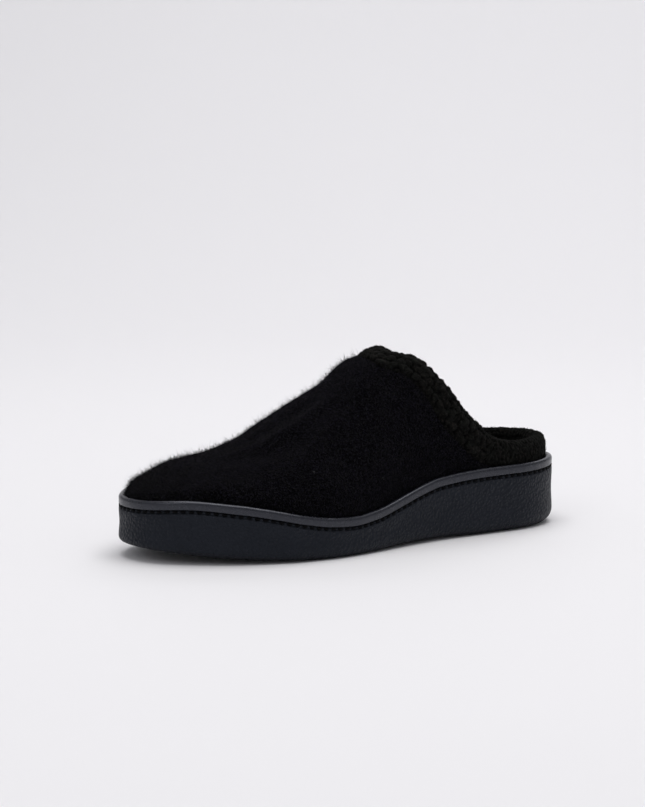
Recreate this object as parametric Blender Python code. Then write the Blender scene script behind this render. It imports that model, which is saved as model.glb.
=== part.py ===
"""A left clog slipper: boiled-wool upper, knitted collar and low heel rim, on a moulded wedge sole.

The toe points along -Y, the wearer's left (the outer side of this foot) is +X, and up is +Z.
The origin lies on the ground under the middle of the sole. All lengths are in metres.

The form of the last is worked out from two tables of sections. "share" is the distance from the
back of the heel as a share of the sole's length, and every other column is a share of a named size.
"""

import math

import bmesh
import bpy
from mathutils import Vector

# Driving sizes
SOLE_LENGTH = 0.268
BALL_WIDTH = 0.102
HEEL_RIM_HEIGHT = 0.0339  # ground to the ledge that carries the upper, at the heel
TOE_SPRING = 0.009
ARCH_LIFT = 0.0013
INSTEP_RISE = 0.0785  # ledge to the top of the instep
INSTEP_LEAN = 0.004  # the instep ridge lies this far towards the inner side of the foot

SOLE_EDGE_RADIUS = 0.006  # rounding of the lower edge, under the middle of the foot
LIP_RADIUS = 0.0008  # the wall's edge under the stitch groove
GROOVE_HEIGHT = 0.0015  # the stitch groove under the welt
GROOVE_DEPTH = 0.0010
WELT_HEIGHT = 0.0050
WELT_WIDTH = 0.0037
WELT_RADIUS = 0.0018
WELT_FOOT_RADIUS = 0.0008
WELT_INSET = 0.0002
CUP_DEEPER_AT_TOE = 0.0053

UPPER_WALL = 0.0040
VAMP_BULGE = 0.0020  # the felt swells out over the welt this far at the toe
BULGE_RISE = 0.005  # height in which it swells
BULGE_FADE = 0.012  # over this far from the tip or from the side it fades out
BULGE_START = 0.40  # share of the length where it begins
TOE_WALL_RISE = 0.0030  # the toe's front stands upright this far, behind the welt
COLLAR_WIDTH = 0.0170
COLLAR_THICKNESS = 0.0080
COLLAR_SQUARENESS = 2.6  # exponent of the section's superellipse, 2 for a plain ellipse
COLLAR_PROUD = 0.0016  # how far the band stands out of the vamp's surface
INSOLE_THICKNESS = 0.0050
INSOLE_SINK = 0.0015  # its top lies this far under the ledge
INSOLE_EDGE = 0.0015  # bevel of its upper edge
INSOLE_DISH = 0.0018  # how deep the heel sits
INSOLE_DISH_SHARE = 0.35  # the dish fades out over this share of the length
ARCH_SUPPORT = 0.0030
ARCH_SUPPORT_SHARE = 0.42  # where its top lies along the length
ARCH_SUPPORT_SPREAD_SHARE = 0.10
GAP = 0.0003

FEATHER_INSET = WELT_INSET + WELT_WIDTH + GAP
CUP_INSET = FEATHER_INSET + UPPER_WALL + 2 * GAP
WELT_CLEAR = WELT_HEIGHT + GAP  # height over the upper's foot that clears the welt

# Numbers of facets
STATIONS = 40  # along the sole, on each side
ARC_STEPS = 4
WELT_ARC_STEPS = 2
UNDER_STRIPS = 6
VAMP_STATIONS = 24
ARCH_STEPS = 10
COLLAR_STATIONS = 76
COLLAR_SIDES = 12
NUDGE = 1e-3  # step of the finite differences
SEAM_ROUNDS = 6
WING_START = 0.26  # the vamp begins at this share of the collar's half
MERGE = 1e-6
OUTLINE_SAMPLES = 160
CREASE_ANGLE = 40  # degrees, over which an edge is shaded sharp

LATERAL, MEDIAL = 1, -1
TOEWARDS = Vector((0, -1))

SOLE_COLUMNS = ("share", "lateral", "medial", "rim", "ground", "arch", "cup", "edge")
SOLE_SECTIONS = (
    # half widths by BALL_WIDTH, rim by HEEL_RIM_HEIGHT, ground by TOE_SPRING, arch by ARCH_LIFT,
    # cup by CUP_DEEPER_AT_TOE, edge by SOLE_EDGE_RADIUS
    (0.00, 0.294, 0.322, 1.000, 0.00, 0.0, 0.0, 1.40),
    (0.10, 0.320, 0.345, 0.972, 0.00, 0.0, 0.0, 1.25),
    (0.22, 0.350, 0.342, 0.960, 0.00, 0.0, 0.0, 1.10),
    (0.34, 0.384, 0.313, 0.894, 0.00, 0.9, 0.0, 1.00),
    (0.40, 0.420, 0.311, 0.789, 0.00, 1.0, 0.0, 1.00),
    (0.46, 0.463, 0.323, 0.648, 0.00, 0.6, 0.0, 1.00),
    (0.52, 0.512, 0.352, 0.532, 0.00, 0.0, 0.0, 1.00),
    (0.58, 0.553, 0.387, 0.484, 0.00, 0.0, 0.0, 1.00),
    (0.64, 0.574, 0.416, 0.513, 0.02, 0.0, 0.1, 0.95),
    (0.70, 0.573, 0.434, 0.593, 0.08, 0.0, 0.3, 0.90),
    (0.76, 0.545, 0.438, 0.697, 0.18, 0.0, 0.6, 0.85),
    (0.82, 0.500, 0.431, 0.784, 0.31, 0.0, 0.8, 0.80),
    (0.92, 0.435, 0.385, 0.868, 0.60, 0.0, 1.0, 0.65),
    (1.00, 0.410, 0.315, 0.824, 0.86, 0.0, 1.0, 0.55),
)

UPPER_COLUMNS = ("share", "ridge", "lean", "side_power", "crown_power")
UPPER_SECTIONS = (
    # ridge by INSTEP_RISE, lean by INSTEP_LEAN; behind the throat the ridge is where the ankle would be
    (0.00, 1.450, 0.0, 0.95, 0.80),
    (0.10, 1.385, 0.2, 0.95, 0.80),
    (0.25, 1.190, 0.6, 0.95, 0.80),
    (0.35, 1.033, 0.9, 1.00, 0.82),
    (0.42, 1.000, 1.0, 1.06, 0.84),
    (0.48, 0.990, 1.0, 1.10, 0.84),
    (0.53, 0.883, 1.0, 1.12, 0.84),
    (0.58, 0.796, 1.0, 1.10, 0.84),
    (0.65, 0.652, 0.9, 1.00, 0.80),
    (0.72, 0.465, 0.6, 0.90, 0.75),
    (0.79, 0.330, 0.4, 0.82, 0.71),
    (0.86, 0.262, 0.2, 0.78, 0.68),
    (0.93, 0.187, 0.0, 0.86, 0.67),
    (1.00, 0.187, 0.0, 0.82, 0.70),
)

COLLAR_COLUMNS = ("share", "climb", "proud", "width")
COLLAR_PATH = (
    # climb runs from 0, seated on the sole's ledge, to 1, over the instep's ridge.
    # proud is by COLLAR_PROUD and 0 where the welt stands beside the band, width by COLLAR_WIDTH
    (0.000, 0.000, 0.00, 1.00),
    (0.050, 0.000, 0.00, 1.00),
    (0.110, 0.000, 0.00, 1.00),
    (0.166, 0.006, 0.00, 1.01),
    (0.215, 0.028, 0.10, 1.03),
    (0.253, 0.078, 0.40, 1.04),
    (0.287, 0.154, 0.75, 1.03),
    (0.311, 0.234, 0.90, 0.98),
    (0.323, 0.300, 1.00, 0.95),
    (0.342, 0.400, 1.00, 0.92),
    (0.377, 0.596, 1.00, 0.89),
    (0.414, 0.742, 1.00, 0.87),
    (0.423, 0.848, 0.50, 0.82),
    (0.429, 1.000, 0.30, 0.80),
)

# The outline closes over these shares of the length, and the crown comes down over the last share.
HEEL_ROUND = {"end_share": 0.16, "power": 2.3}
TOE_ROUND = {"end_share": 0.22, "power": 2.2}
TOE_CROWN_SHARE = 0.16

FELT = {"color": (0.012, 0.012, 0.015), "roughness": 0.95}
KNIT = {"color": (0.015, 0.015, 0.014), "roughness": 0.95}
SOLE_FOAM = {"color": (0.022, 0.023, 0.027), "roughness": 0.55}
WELT_GLOSS = {"color": (0.030, 0.031, 0.037), "roughness": 0.38}
LINING = {"color": (0.014, 0.014, 0.016), "roughness": 0.98}


def slopes(shares, values):
    """Tangents of the smooth curve through a table's column, with no overshoot."""
    steps = [b - a for a, b in zip(shares, shares[1:])]
    rates = [(b - a) / h for a, b, h in zip(values, values[1:], steps)]
    inner = []
    for (low, high), (left, right) in zip(zip(steps, steps[1:]), zip(rates, rates[1:])):
        if left * right <= 0:
            inner.append(0.0)
        else:
            near, far = 2 * high + low, high + 2 * low
            inner.append((near + far) / (near / left + far / right))
    return [rates[0], *inner, rates[-1]]


def smooth_curve(shares, values):
    """A function of share that runs smoothly through the values."""
    tangents = slopes(shares, values)

    def curve(share):
        i = 0
        while i < len(shares) - 2 and share > shares[i + 1]:
            i += 1
        h = shares[i + 1] - shares[i]
        s = min(max((share - shares[i]) / h, 0.0), 1.0)
        rest = 1 - s
        return (
            values[i] * rest * rest * (1 + 2 * s)
            + values[i + 1] * s * s * (1 + 2 * rest)
            + h * s * rest * (tangents[i] * rest - tangents[i + 1] * s)
        )

    return curve


def curves_of(columns, rows):
    """One smooth curve for each column of a table, over its first column."""
    shares = [row[0] for row in rows]
    return {
        name: smooth_curve(shares, [row[k] for row in rows])
        for k, name in enumerate(columns)
        if k > 0
    }


SOLE = curves_of(SOLE_COLUMNS, SOLE_SECTIONS)
UPPER = curves_of(UPPER_COLUMNS, UPPER_SECTIONS)


def share_of(turn):
    """Share of the length at a turn of 0 (heel) to 1 (toe), closer together at both round ends."""
    return (1 - math.cos(math.pi * turn)) / 2


def turn_of(share):
    return math.acos(1 - 2 * share) / math.pi


def round_end(share, end_share, power):
    """Factor that closes the outline in a rounded end, at a share of the length from that end."""
    if share >= end_share:
        return 1.0
    return max(1 - (1 - share / end_share) ** power, 0.0) ** (1 / power)


def edge(side, turn):
    """The sole's outline, with heel and tip at x = 0. A turn under 0 or over 1 runs on round the end."""
    if turn < 0 or turn > 1:
        side, turn = -side, -turn if turn < 0 else 2 - turn
    share = share_of(turn)
    width = SOLE["lateral" if side == LATERAL else "medial"](share) * BALL_WIDTH
    width *= round_end(share, **HEEL_ROUND) * round_end(1 - share, **TOE_ROUND)
    return Vector((side * width, SOLE_LENGTH * (0.5 - share)))


def way_out(side, turn):
    """The direction out of the outline, square to it."""
    along = edge(side, turn + NUDGE) - edge(side, turn - NUDGE)
    return Vector((-along.y, along.x)).normalized() * side


def outline(side, turn, inset):
    """A point of the outline, moved inwards by inset."""
    return edge(side, turn) - way_out(side, turn) * inset


def rim_height(share):
    return SOLE["rim"](share) * HEEL_RIM_HEIGHT


def ground_height(share):
    return SOLE["ground"](share) * TOE_SPRING + SOLE["arch"](share) * ARCH_LIFT


def edge_radius(share):
    return SOLE["edge"](share) * SOLE_EDGE_RADIUS


def cup_floor(share):
    """Top of the sole under the insole, which lies just under the ledge and deeper at the toe."""
    depth = INSOLE_SINK + INSOLE_THICKNESS + 2 * GAP + SOLE["cup"](share) * CUP_DEEPER_AT_TOE
    return rim_height(share) - depth


def ridge_rise(share):
    """Height of the instep's ridge over the ledge, rounded down to the toe's upright front."""
    rise = UPPER["ridge"](share) * INSTEP_RISE
    beyond = max(share - (1 - TOE_CROWN_SHARE), 0) / TOE_CROWN_SHARE
    crown = math.sqrt(max(1 - beyond**2, 0))
    return TOE_WALL_RISE + (rise - TOE_WALL_RISE) * crown


def smoothstep(low, high, x):
    """0 below low, 1 above high and a smooth rise between them."""
    s = min(max((x - low) / (high - low), 0.0), 1.0)
    return s * s * (3 - 2 * s)


def bulge(share, rise, outwards):
    """How far the felt swells out over the welt: none at the heel's side of the throat, most at the toe."""
    swell = smoothstep(BULGE_START, 1.0, share) * smoothstep(0, BULGE_RISE, rise - WELT_CLEAR)
    from_tip = (1 - share) * SOLE_LENGTH * (1 - outwards)
    return VAMP_BULGE * swell * math.exp(-((from_tip / BULGE_FADE) ** 2))


def upper_point(side, turn, arch):
    """The upper's outer surface. arch runs from 0 at the sole to 1 at the ridge, and on to 2 opposite."""
    if arch > 1:
        side, arch = -side, 2 - arch
    if turn < 0:
        side, turn = -side, -turn
    share = share_of(turn)
    foot = outline(side, turn, FEATHER_INSET)
    opposite = outline(-side, turn, FEATHER_INSET)
    ridge = Vector((-UPPER["lean"](share) * INSTEP_LEAN, (foot.y + opposite.y) / 2))
    angle = arch * math.pi / 2
    outwards = max(math.cos(angle), 0.0) ** UPPER["side_power"](share)
    upwards = max(math.sin(angle), 0.0) ** UPPER["crown_power"](share)
    flat = ridge + (foot - ridge) * outwards
    rise = ridge_rise(share) * upwards
    direction = way_out(side, turn) * outwards + TOEWARDS * (1 - outwards)
    flat += direction * bulge(share, rise, outwards)
    return Vector((flat.x, flat.y, rim_height(share) + GAP + rise))


def upper_frame(side, turn, arch):
    """Point, outward normal and the two tangents of the upper's surface."""
    by_turn = upper_point(side, turn + NUDGE, arch) - upper_point(side, turn - NUDGE, arch)
    by_arch = upper_point(side, turn, arch + NUDGE) - upper_point(side, turn, arch - NUDGE)
    normal = by_turn.cross(by_arch).normalized() * -side
    return upper_point(side, turn, arch), normal, by_turn / (2 * NUDGE), by_arch / (2 * NUDGE)


def arch_at(share, rise):
    """Where on the arch the upper stands that high over its foot, or 1 where it is lower."""
    upwards = min(rise / ridge_rise(share), 1.0)
    return 2 / math.pi * math.asin(upwards ** (1 / UPPER["crown_power"](share)))


def collar_curves():
    """Turn, arch, stand and width along half of the collar, from 0 at the heel to 1 at the instep."""
    rows = []
    for share, climb, proud, width in COLLAR_PATH:
        seat = arch_at(share, COLLAR_WIDTH / 2)  # there its lower edge rests on the ledge
        rows.append((turn_of(share), seat + climb * (1 - seat), proud * COLLAR_PROUD, width * COLLAR_WIDTH))
    # One mirrored row at each end lets the curve cross the heel's back and the ridge squarely.
    behind = (-rows[1][0], *rows[1][1:])
    beyond = (rows[-2][0], 2 - rows[-2][1], *rows[-2][2:])
    rows = [behind, *rows, beyond]
    steps = [(i - 1) / (len(rows) - 3) for i in range(len(rows))]
    return [smooth_curve(steps, list(values)) for values in zip(*rows)]


COLLAR_TURN, COLLAR_ARCH, COLLAR_STAND, COLLAR_SPAN = collar_curves()


def collar_frame(side, along):
    """Middle of the band, its outward normal, its way across to the opening, and its seam's target."""
    spot, normal, by_turn, by_arch = upper_frame(side, COLLAR_TURN(along), COLLAR_ARCH(along))
    turn_rate = COLLAR_TURN(along + NUDGE) - COLLAR_TURN(along - NUDGE)
    arch_rate = COLLAR_ARCH(along + NUDGE) - COLLAR_ARCH(along - NUDGE)
    tangent = (by_turn * turn_rate + by_arch * arch_rate).normalized()
    across = tangent.cross(normal).normalized() * side
    middle = spot - normal * (COLLAR_THICKNESS / 2 - COLLAR_STAND(along))
    return middle, normal, across, spot - across * (COLLAR_SPAN(along) / 2 + GAP)


def seam_spot(side, along):
    """Turn and arch of the vamp's edge, which meets the collar's lower edge."""
    turn, arch = COLLAR_TURN(along), COLLAR_ARCH(along)
    target = collar_frame(side, along)[3]
    for _ in range(SEAM_ROUNDS):
        here, _, by_turn, by_arch = upper_frame(side, turn, arch)
        miss = target - here
        a, b, c = by_turn.dot(by_turn), by_turn.dot(by_arch), by_arch.dot(by_arch)
        p, q = by_turn.dot(miss), by_arch.dot(miss)
        determinant = a * c - b * b
        turn += (c * p - b * q) / determinant
        arch += (a * q - b * p) / determinant
    return turn, arch


def seam_spots(side):
    """The vamp's edge at the collar's own stations, from the wing's end on."""
    half = COLLAR_STATIONS // 2
    return [seam_spot(side, i / half) for i in range(round(half * WING_START), half)]


def new_object(name, mesh_builder, finish):
    """A mesh object with its own material."""
    mesh = bpy.data.meshes.new(name)
    shape = bmesh.new()
    mesh_builder(shape)
    bmesh.ops.remove_doubles(shape, verts=shape.verts, dist=MERGE)
    bmesh.ops.recalc_face_normals(shape, faces=shape.faces)
    bmesh.ops.translate(shape, verts=shape.verts, vec=(CENTRE_SHIFT, 0, 0))
    shape.to_mesh(mesh)
    shape.free()
    material = bpy.data.materials.new(name + "_finish")
    material.use_nodes = True
    shader = material.node_tree.nodes["Principled BSDF"]
    shader.inputs["Base Color"].default_value = (*finish["color"], 1)
    shader.inputs["Roughness"].default_value = finish["roughness"]
    shader.inputs["Metallic"].default_value = 0.0
    mesh.materials.append(material)
    thing = bpy.data.objects.new(name, mesh)
    bpy.context.scene.collection.objects.link(thing)
    mesh.shade_smooth()
    mesh.set_sharp_from_angle(angle=math.radians(CREASE_ANGLE))
    return thing


def loop_stations():
    """Side and turn of each point round the outline, out along the lateral side and back."""
    turns = [i / STATIONS for i in range(STATIONS + 1)]
    out = [(LATERAL, turn) for turn in turns]
    back = [(MEDIAL, turn) for turn in reversed(turns[1:-1])]
    return out + back


def ring(shape, inset, height):
    """Vertices round the outline, at an inset and a height that are functions of the share."""
    made = []
    for side, turn in loop_stations():
        share = share_of(turn)
        flat = outline(side, turn, inset(share))
        made.append(shape.verts.new((flat.x, flat.y, height(share))))
    return made


def same(value):
    """A function of the share that stays at one value."""
    return lambda share: value


def bridge(shape, first, second):
    """A closed band of quads between two rings."""
    for i in range(len(first)):
        j = (i + 1) % len(first)
        shape.faces.new((first[i], first[j], second[j], second[i]))


def cap(shape, rim, sag):
    """Closes a ring with strips from side to side, shifted by sag(share, place across from -1 to 1)."""
    rows = [[rim[0]]]
    for i in range(1, STATIONS):
        lateral, medial = rim[i], rim[-i]
        row = [lateral]
        for k in range(1, UNDER_STRIPS):
            place = k / UNDER_STRIPS
            spot = lateral.co.lerp(medial.co, place)
            spot.z += sag(share_of(i / STATIONS), 1 - 2 * place)
            row.append(shape.verts.new(spot))
        rows.append([*row, medial])
    rows.append([rim[STATIONS]])
    for here, there in zip(rows, rows[1:]):
        if len(here) == 1 or len(there) == 1:
            tip = here[0] if len(here) == 1 else there[0]
            full = there if len(here) == 1 else here
            for a, b in zip(full, full[1:]):
                shape.faces.new((tip, a, b))
            continue
        for a, b, c, d in zip(here, here[1:], there[1:], there):
            shape.faces.new((a, b, c, d))


def flat_cap(share, place):
    return 0.0


def build_sole(shape):
    """The moulded wedge: tread, rounded lower edge, wall, stitch groove, ledge and the insole's cup."""
    profile = []
    for k in range(ARC_STEPS + 1):
        angle = k / ARC_STEPS * math.pi / 2
        inward, upward = 1 - math.sin(angle), 1 - math.cos(angle)
        profile.append((
            lambda share, inward=inward: edge_radius(share) * inward,
            lambda share, upward=upward: ground_height(share) + edge_radius(share) * upward,
        ))
    groove_inset = same(WELT_INSET + GROOVE_DEPTH)
    profile += [
        (same(WELT_INSET), lambda share: rim_height(share) - GROOVE_HEIGHT - LIP_RADIUS),
        (same(WELT_INSET + LIP_RADIUS), lambda share: rim_height(share) - GROOVE_HEIGHT),
        (groove_inset, lambda share: rim_height(share) - GROOVE_HEIGHT),
        (groove_inset, rim_height),
        (same(CUP_INSET), rim_height),
        (same(CUP_INSET + GAP), cup_floor),
    ]
    rings = [ring(shape, inset, height) for inset, height in profile]
    for lower, upper in zip(rings, rings[1:]):
        bridge(shape, lower, upper)
    cap(shape, rings[0], flat_cap)
    cap(shape, rings[-1], flat_cap)


def welt_section():
    """(inset, height) round the welt's section: a flat foot and a rounded bead above it."""
    corners = (
        # middle of each corner's arc, its radius and the angle where the arc starts
        (WELT_FOOT_RADIUS, WELT_FOOT_RADIUS, WELT_FOOT_RADIUS, -90),
        (WELT_RADIUS, WELT_HEIGHT - WELT_RADIUS, WELT_RADIUS, 0),
        (WELT_WIDTH - WELT_RADIUS, WELT_HEIGHT - WELT_RADIUS, WELT_RADIUS, 90),
    )
    points = [(WELT_WIDTH, 0.0)]
    for inset, height, radius, start in corners:
        for k in range(WELT_ARC_STEPS + 1):
            angle = math.radians(start + 90 * k / WELT_ARC_STEPS)
            points.append((inset - radius * math.cos(angle), height + radius * math.sin(angle)))
    return points


def build_welt(shape):
    """The smooth bead that closes the sole's top edge and covers the upper's foot."""
    rings = [
        ring(shape, same(WELT_INSET + inset), lambda share, up=up: rim_height(share) + GAP + up)
        for inset, up in welt_section()
    ]
    for first, second in zip(rings, rings[1:] + rings[:1]):
        bridge(shape, first, second)


def build_insole(shape):
    """The footbed: just under the ledge, dished at the heel and raised under the inner arch."""
    inset = CUP_INSET + 2 * GAP

    def under(share):
        return cup_floor(share) + GAP

    def top(share):
        return under(share) + INSOLE_THICKNESS

    def dished(share, place):
        heel = math.exp(-((share / INSOLE_DISH_SHARE) ** 2))
        waist = math.exp(-(((share - ARCH_SUPPORT_SHARE) / ARCH_SUPPORT_SPREAD_SHARE) ** 2))
        inner = math.sin(math.pi * max(-place, 0)) ** 2
        return ARCH_SUPPORT * waist * inner - INSOLE_DISH * heel * (1 - place**2)

    rings = [
        ring(shape, same(inset), under),
        ring(shape, same(inset), lambda share: top(share) - INSOLE_EDGE),
        ring(shape, same(inset + INSOLE_EDGE), top),
    ]
    for lower, upper in zip(rings, rings[1:]):
        bridge(shape, lower, upper)
    cap(shape, rings[0], flat_cap)
    cap(shape, rings[-1], dished)


def vamp_columns(side):
    """(turn, top arch) of each column of the vamp, from the wing's end to the toe."""
    throat = sum(seam_spot(each, 1.0)[0] for each in (LATERAL, MEDIAL)) / 2
    rest = [(throat + (1 - throat) * i / VAMP_STATIONS, 1.0) for i in range(VAMP_STATIONS + 1)]
    return seam_spots(side) + rest


def vamp_grid(shape, side, depth):
    """One side of the vamp as rows of vertices, at a depth under its outer surface."""
    grid = []
    for turn, top in vamp_columns(side):
        column = []
        low = min(arch_at(share_of(turn), WELT_CLEAR), top / 2)  # the first step clears the welt
        for j in range(ARCH_STEPS + 1):
            arch = low + (top - low) * (j - 1) / (ARCH_STEPS - 1) if j else 0.0
            spot, normal, _, _ = upper_frame(side, turn, arch)
            if j == 0:
                normal = Vector((normal.x, normal.y, 0)).normalized()
            column.append(shape.verts.new(spot - normal * depth))
        grid.append(column)
    return grid


def build_upper(shape):
    """The vamp: an open shell with a real wall, from the sole's ledge to the collar and over the toes."""
    for side in (LATERAL, MEDIAL):
        outer, inner = vamp_grid(shape, side, 0), vamp_grid(shape, side, UPPER_WALL)
        for grid in (outer, inner):
            for here, there in zip(grid, grid[1:]):
                for j in range(ARCH_STEPS):
                    shape.faces.new((here[j], there[j], there[j + 1], here[j + 1]))
        seam_count = len(outer) - VAMP_STATIONS
        foot_edge = [(outer[i][0], inner[i][0]) for i in range(len(outer))]
        seam_edge = [(outer[i][-1], inner[i][-1]) for i in range(seam_count)]
        wing_edge = list(zip(outer[0], inner[0]))
        for edge_pairs in (foot_edge, seam_edge, wing_edge):
            for (a, b), (c, d) in zip(edge_pairs, edge_pairs[1:]):
                shape.faces.new((a, b, d, c))


def build_collar(shape):
    """The thick knitted band round the opening: a rounded flat section carried along the topline."""
    rings = []
    power = 2 / COLLAR_SQUARENESS
    for i in range(COLLAR_STATIONS):
        way = 2 * i / COLLAR_STATIONS
        side, along = (LATERAL, way) if way <= 1 else (MEDIAL, 2 - way)
        middle, normal, across, _ = collar_frame(side, along)
        span = COLLAR_SPAN(along)
        loop = []
        for k in range(COLLAR_SIDES):
            angle = 2 * math.pi * k / COLLAR_SIDES
            thick = math.copysign(abs(math.sin(angle)) ** power, math.sin(angle))
            wide = math.copysign(abs(math.cos(angle)) ** power, math.cos(angle))
            spot = middle + normal * thick * COLLAR_THICKNESS / 2 + across * wide * span / 2
            loop.append(shape.verts.new(spot))
        rings.append(loop)
    for first, second in zip(rings, rings[1:] + rings[:1]):
        bridge(shape, first, second)


def clear_scene():
    for thing in list(bpy.data.objects):
        bpy.data.objects.remove(thing)


def widest(side):
    return max(abs(edge(side, i / OUTLINE_SAMPLES).x) for i in range(OUTLINE_SAMPLES + 1))


CENTRE_SHIFT = (widest(MEDIAL) - widest(LATERAL)) / 2


def main():
    clear_scene()
    new_object("sole", build_sole, SOLE_FOAM)
    new_object("welt", build_welt, WELT_GLOSS)
    new_object("insole", build_insole, LINING)
    new_object("upper", build_upper, FELT)
    new_object("collar", build_collar, KNIT)


main()
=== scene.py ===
import bpy
import numpy as np
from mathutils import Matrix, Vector


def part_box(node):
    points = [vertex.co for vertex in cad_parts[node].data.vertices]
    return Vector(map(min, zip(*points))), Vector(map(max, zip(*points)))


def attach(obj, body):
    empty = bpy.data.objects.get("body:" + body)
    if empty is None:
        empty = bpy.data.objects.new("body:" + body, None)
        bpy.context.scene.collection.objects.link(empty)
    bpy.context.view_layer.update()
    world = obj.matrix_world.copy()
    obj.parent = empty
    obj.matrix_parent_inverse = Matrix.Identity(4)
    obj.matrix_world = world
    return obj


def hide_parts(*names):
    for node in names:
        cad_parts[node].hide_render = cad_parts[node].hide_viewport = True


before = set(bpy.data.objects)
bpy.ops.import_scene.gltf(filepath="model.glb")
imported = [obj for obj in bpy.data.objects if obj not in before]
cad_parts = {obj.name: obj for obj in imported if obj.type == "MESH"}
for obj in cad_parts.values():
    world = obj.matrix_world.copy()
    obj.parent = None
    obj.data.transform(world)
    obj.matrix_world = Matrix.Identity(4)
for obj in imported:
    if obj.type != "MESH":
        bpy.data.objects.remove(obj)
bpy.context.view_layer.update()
print("frame loaded:", ", ".join(sorted(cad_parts)))

# Sizes of the last, in metres. The length, width and height come from the frame's own boxes.
soleLow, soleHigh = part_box("sole")
last = {
    "widestLateral": 0.574,  # shares of the ball's width
    "widestMedial": 0.438,
    "length": soleHigh.y - soleLow.y,
    "heelRim": soleHigh.z,
    "toeSpring": 0.009,
    "archLift": 0.0013,
    "instepRise": 0.0785,
    "instepLean": 0.004,
    "toeWallRise": 0.0030,
    "toeCrownShare": 0.16,
    "bulge": 0.0020,  # the felt swells out over the welt this far at the toe
    "bulgeRise": 0.005,
    "bulgeFade": 0.012,
    "bulgeStart": 0.40,
    "heelRound": (0.16, 2.3),  # share of the length where the end closes, and its power
    "toeRound": (0.22, 2.2),
    "gap": 0.0003,
    "nudge": 1e-3,  # step of the finite differences
}
last["ballWidth"] = (soleHigh.x - soleLow.x) / (last["widestLateral"] + last["widestMedial"])
last["shift"] = soleHigh.x - last["widestLateral"] * last["ballWidth"]

# One row per section from heel to toe. The first value is the distance from the heel over the length.
# Half widths go with the ball's width, rim with the heel's rim, ground with the toe spring, arch with the
# arch's lift, cup with its depth at the toe and edge with the radius of the lower edge.
soleNames = ("lateral", "medial", "rim", "ground", "arch", "cup", "edge")
soleRows = (
    (0.00, 0.294, 0.322, 1.000, 0.00, 0.0, 0.0, 1.40),
    (0.10, 0.320, 0.345, 0.972, 0.00, 0.0, 0.0, 1.25),
    (0.22, 0.350, 0.342, 0.960, 0.00, 0.0, 0.0, 1.10),
    (0.34, 0.384, 0.313, 0.894, 0.00, 0.9, 0.0, 1.00),
    (0.40, 0.420, 0.311, 0.789, 0.00, 1.0, 0.0, 1.00),
    (0.46, 0.463, 0.323, 0.648, 0.00, 0.6, 0.0, 1.00),
    (0.52, 0.512, 0.352, 0.532, 0.00, 0.0, 0.0, 1.00),
    (0.58, 0.553, 0.387, 0.484, 0.00, 0.0, 0.0, 1.00),
    (0.64, 0.574, 0.416, 0.513, 0.02, 0.0, 0.1, 0.95),
    (0.70, 0.573, 0.434, 0.593, 0.08, 0.0, 0.3, 0.90),
    (0.76, 0.545, 0.438, 0.697, 0.18, 0.0, 0.6, 0.85),
    (0.82, 0.500, 0.431, 0.784, 0.31, 0.0, 0.8, 0.80),
    (0.92, 0.435, 0.385, 0.868, 0.60, 0.0, 1.0, 0.65),
    (1.00, 0.410, 0.315, 0.824, 0.86, 0.0, 1.0, 0.55),
)

# The ridge goes with the instep's rise, lean with the instep's lean, and the powers shape each arch.
upperNames = ("ridge", "lean", "sidePower", "crownPower")
upperRows = (
    (0.00, 1.450, 0.0, 0.95, 0.80),
    (0.10, 1.385, 0.2, 0.95, 0.80),
    (0.25, 1.190, 0.6, 0.95, 0.80),
    (0.35, 1.033, 0.9, 1.00, 0.82),
    (0.42, 1.000, 1.0, 1.06, 0.84),
    (0.48, 0.990, 1.0, 1.10, 0.84),
    (0.53, 0.883, 1.0, 1.12, 0.84),
    (0.58, 0.796, 1.0, 1.10, 0.84),
    (0.65, 0.652, 0.9, 1.00, 0.80),
    (0.72, 0.465, 0.6, 0.90, 0.75),
    (0.79, 0.330, 0.4, 0.82, 0.71),
    (0.86, 0.262, 0.2, 0.78, 0.68),
    (0.93, 0.187, 0.0, 0.86, 0.67),
    (1.00, 0.187, 0.0, 0.82, 0.70),
)


def smoothCurve(at, values):
    # A cubic between neighbouring rows. Its slope at a row is the weighted harmonic mean of the slopes
    # on both sides, or 0 where they differ in sign, so that the curve never overshoots.
    at, values = np.array(at, float), np.array(values, float)
    steps = np.diff(at)
    rates = np.diff(values) / steps
    left, right = rates[:-1], rates[1:]
    near, far = 2 * steps[1:] + steps[:-1], steps[1:] + 2 * steps[:-1]
    alike = left * right > 0
    inner = (near + far) / (near / np.where(alike, left, 1) + far / np.where(alike, right, 1))
    slopes = np.concatenate([rates[:1], np.where(alike, inner, 0), rates[-1:]])

    def curve(x):
        # Values and slopes at both rows, weighted by the cubics of the way s between them
        i = np.clip(np.searchsorted(at, x) - 1, 0, len(steps) - 1)
        s = np.clip((x - at[i]) / steps[i], 0, 1)
        rest = 1 - s
        ends = values[i] * rest**2 * (1 + 2 * s) + values[i + 1] * s**2 * (1 + 2 * rest)
        return ends + steps[i] * s * rest * (slopes[i] * rest - slopes[i + 1] * s)

    return curve


def tableCurves(names, rows):
    # One smooth curve per column, over the first column
    columns = np.array(rows).T
    return {name: smoothCurve(columns[0], columns[k + 1]) for k, name in enumerate(names)}


soleCurve = tableCurves(soleNames, soleRows)
upperCurve = tableCurves(upperNames, upperRows)


def shareOf(turn):
    # (1 - cos(pi turn)) / 2, which crowds the stations at both round ends
    return (1 - np.cos(np.pi * turn)) / 2


def turnOf(share):
    # The reverse of shareOf: arccos(1 - 2 share) / pi
    return np.arccos(1 - 2 * share) / np.pi


def roundEnd(share, endShare, power):
    # (1 - (1 - share / endShare)^power)^(1 / power), and 1 beyond the end's share
    return (1 - (1 - np.clip(share / endShare, 0, 1)) ** power) ** (1 / power)


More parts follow.
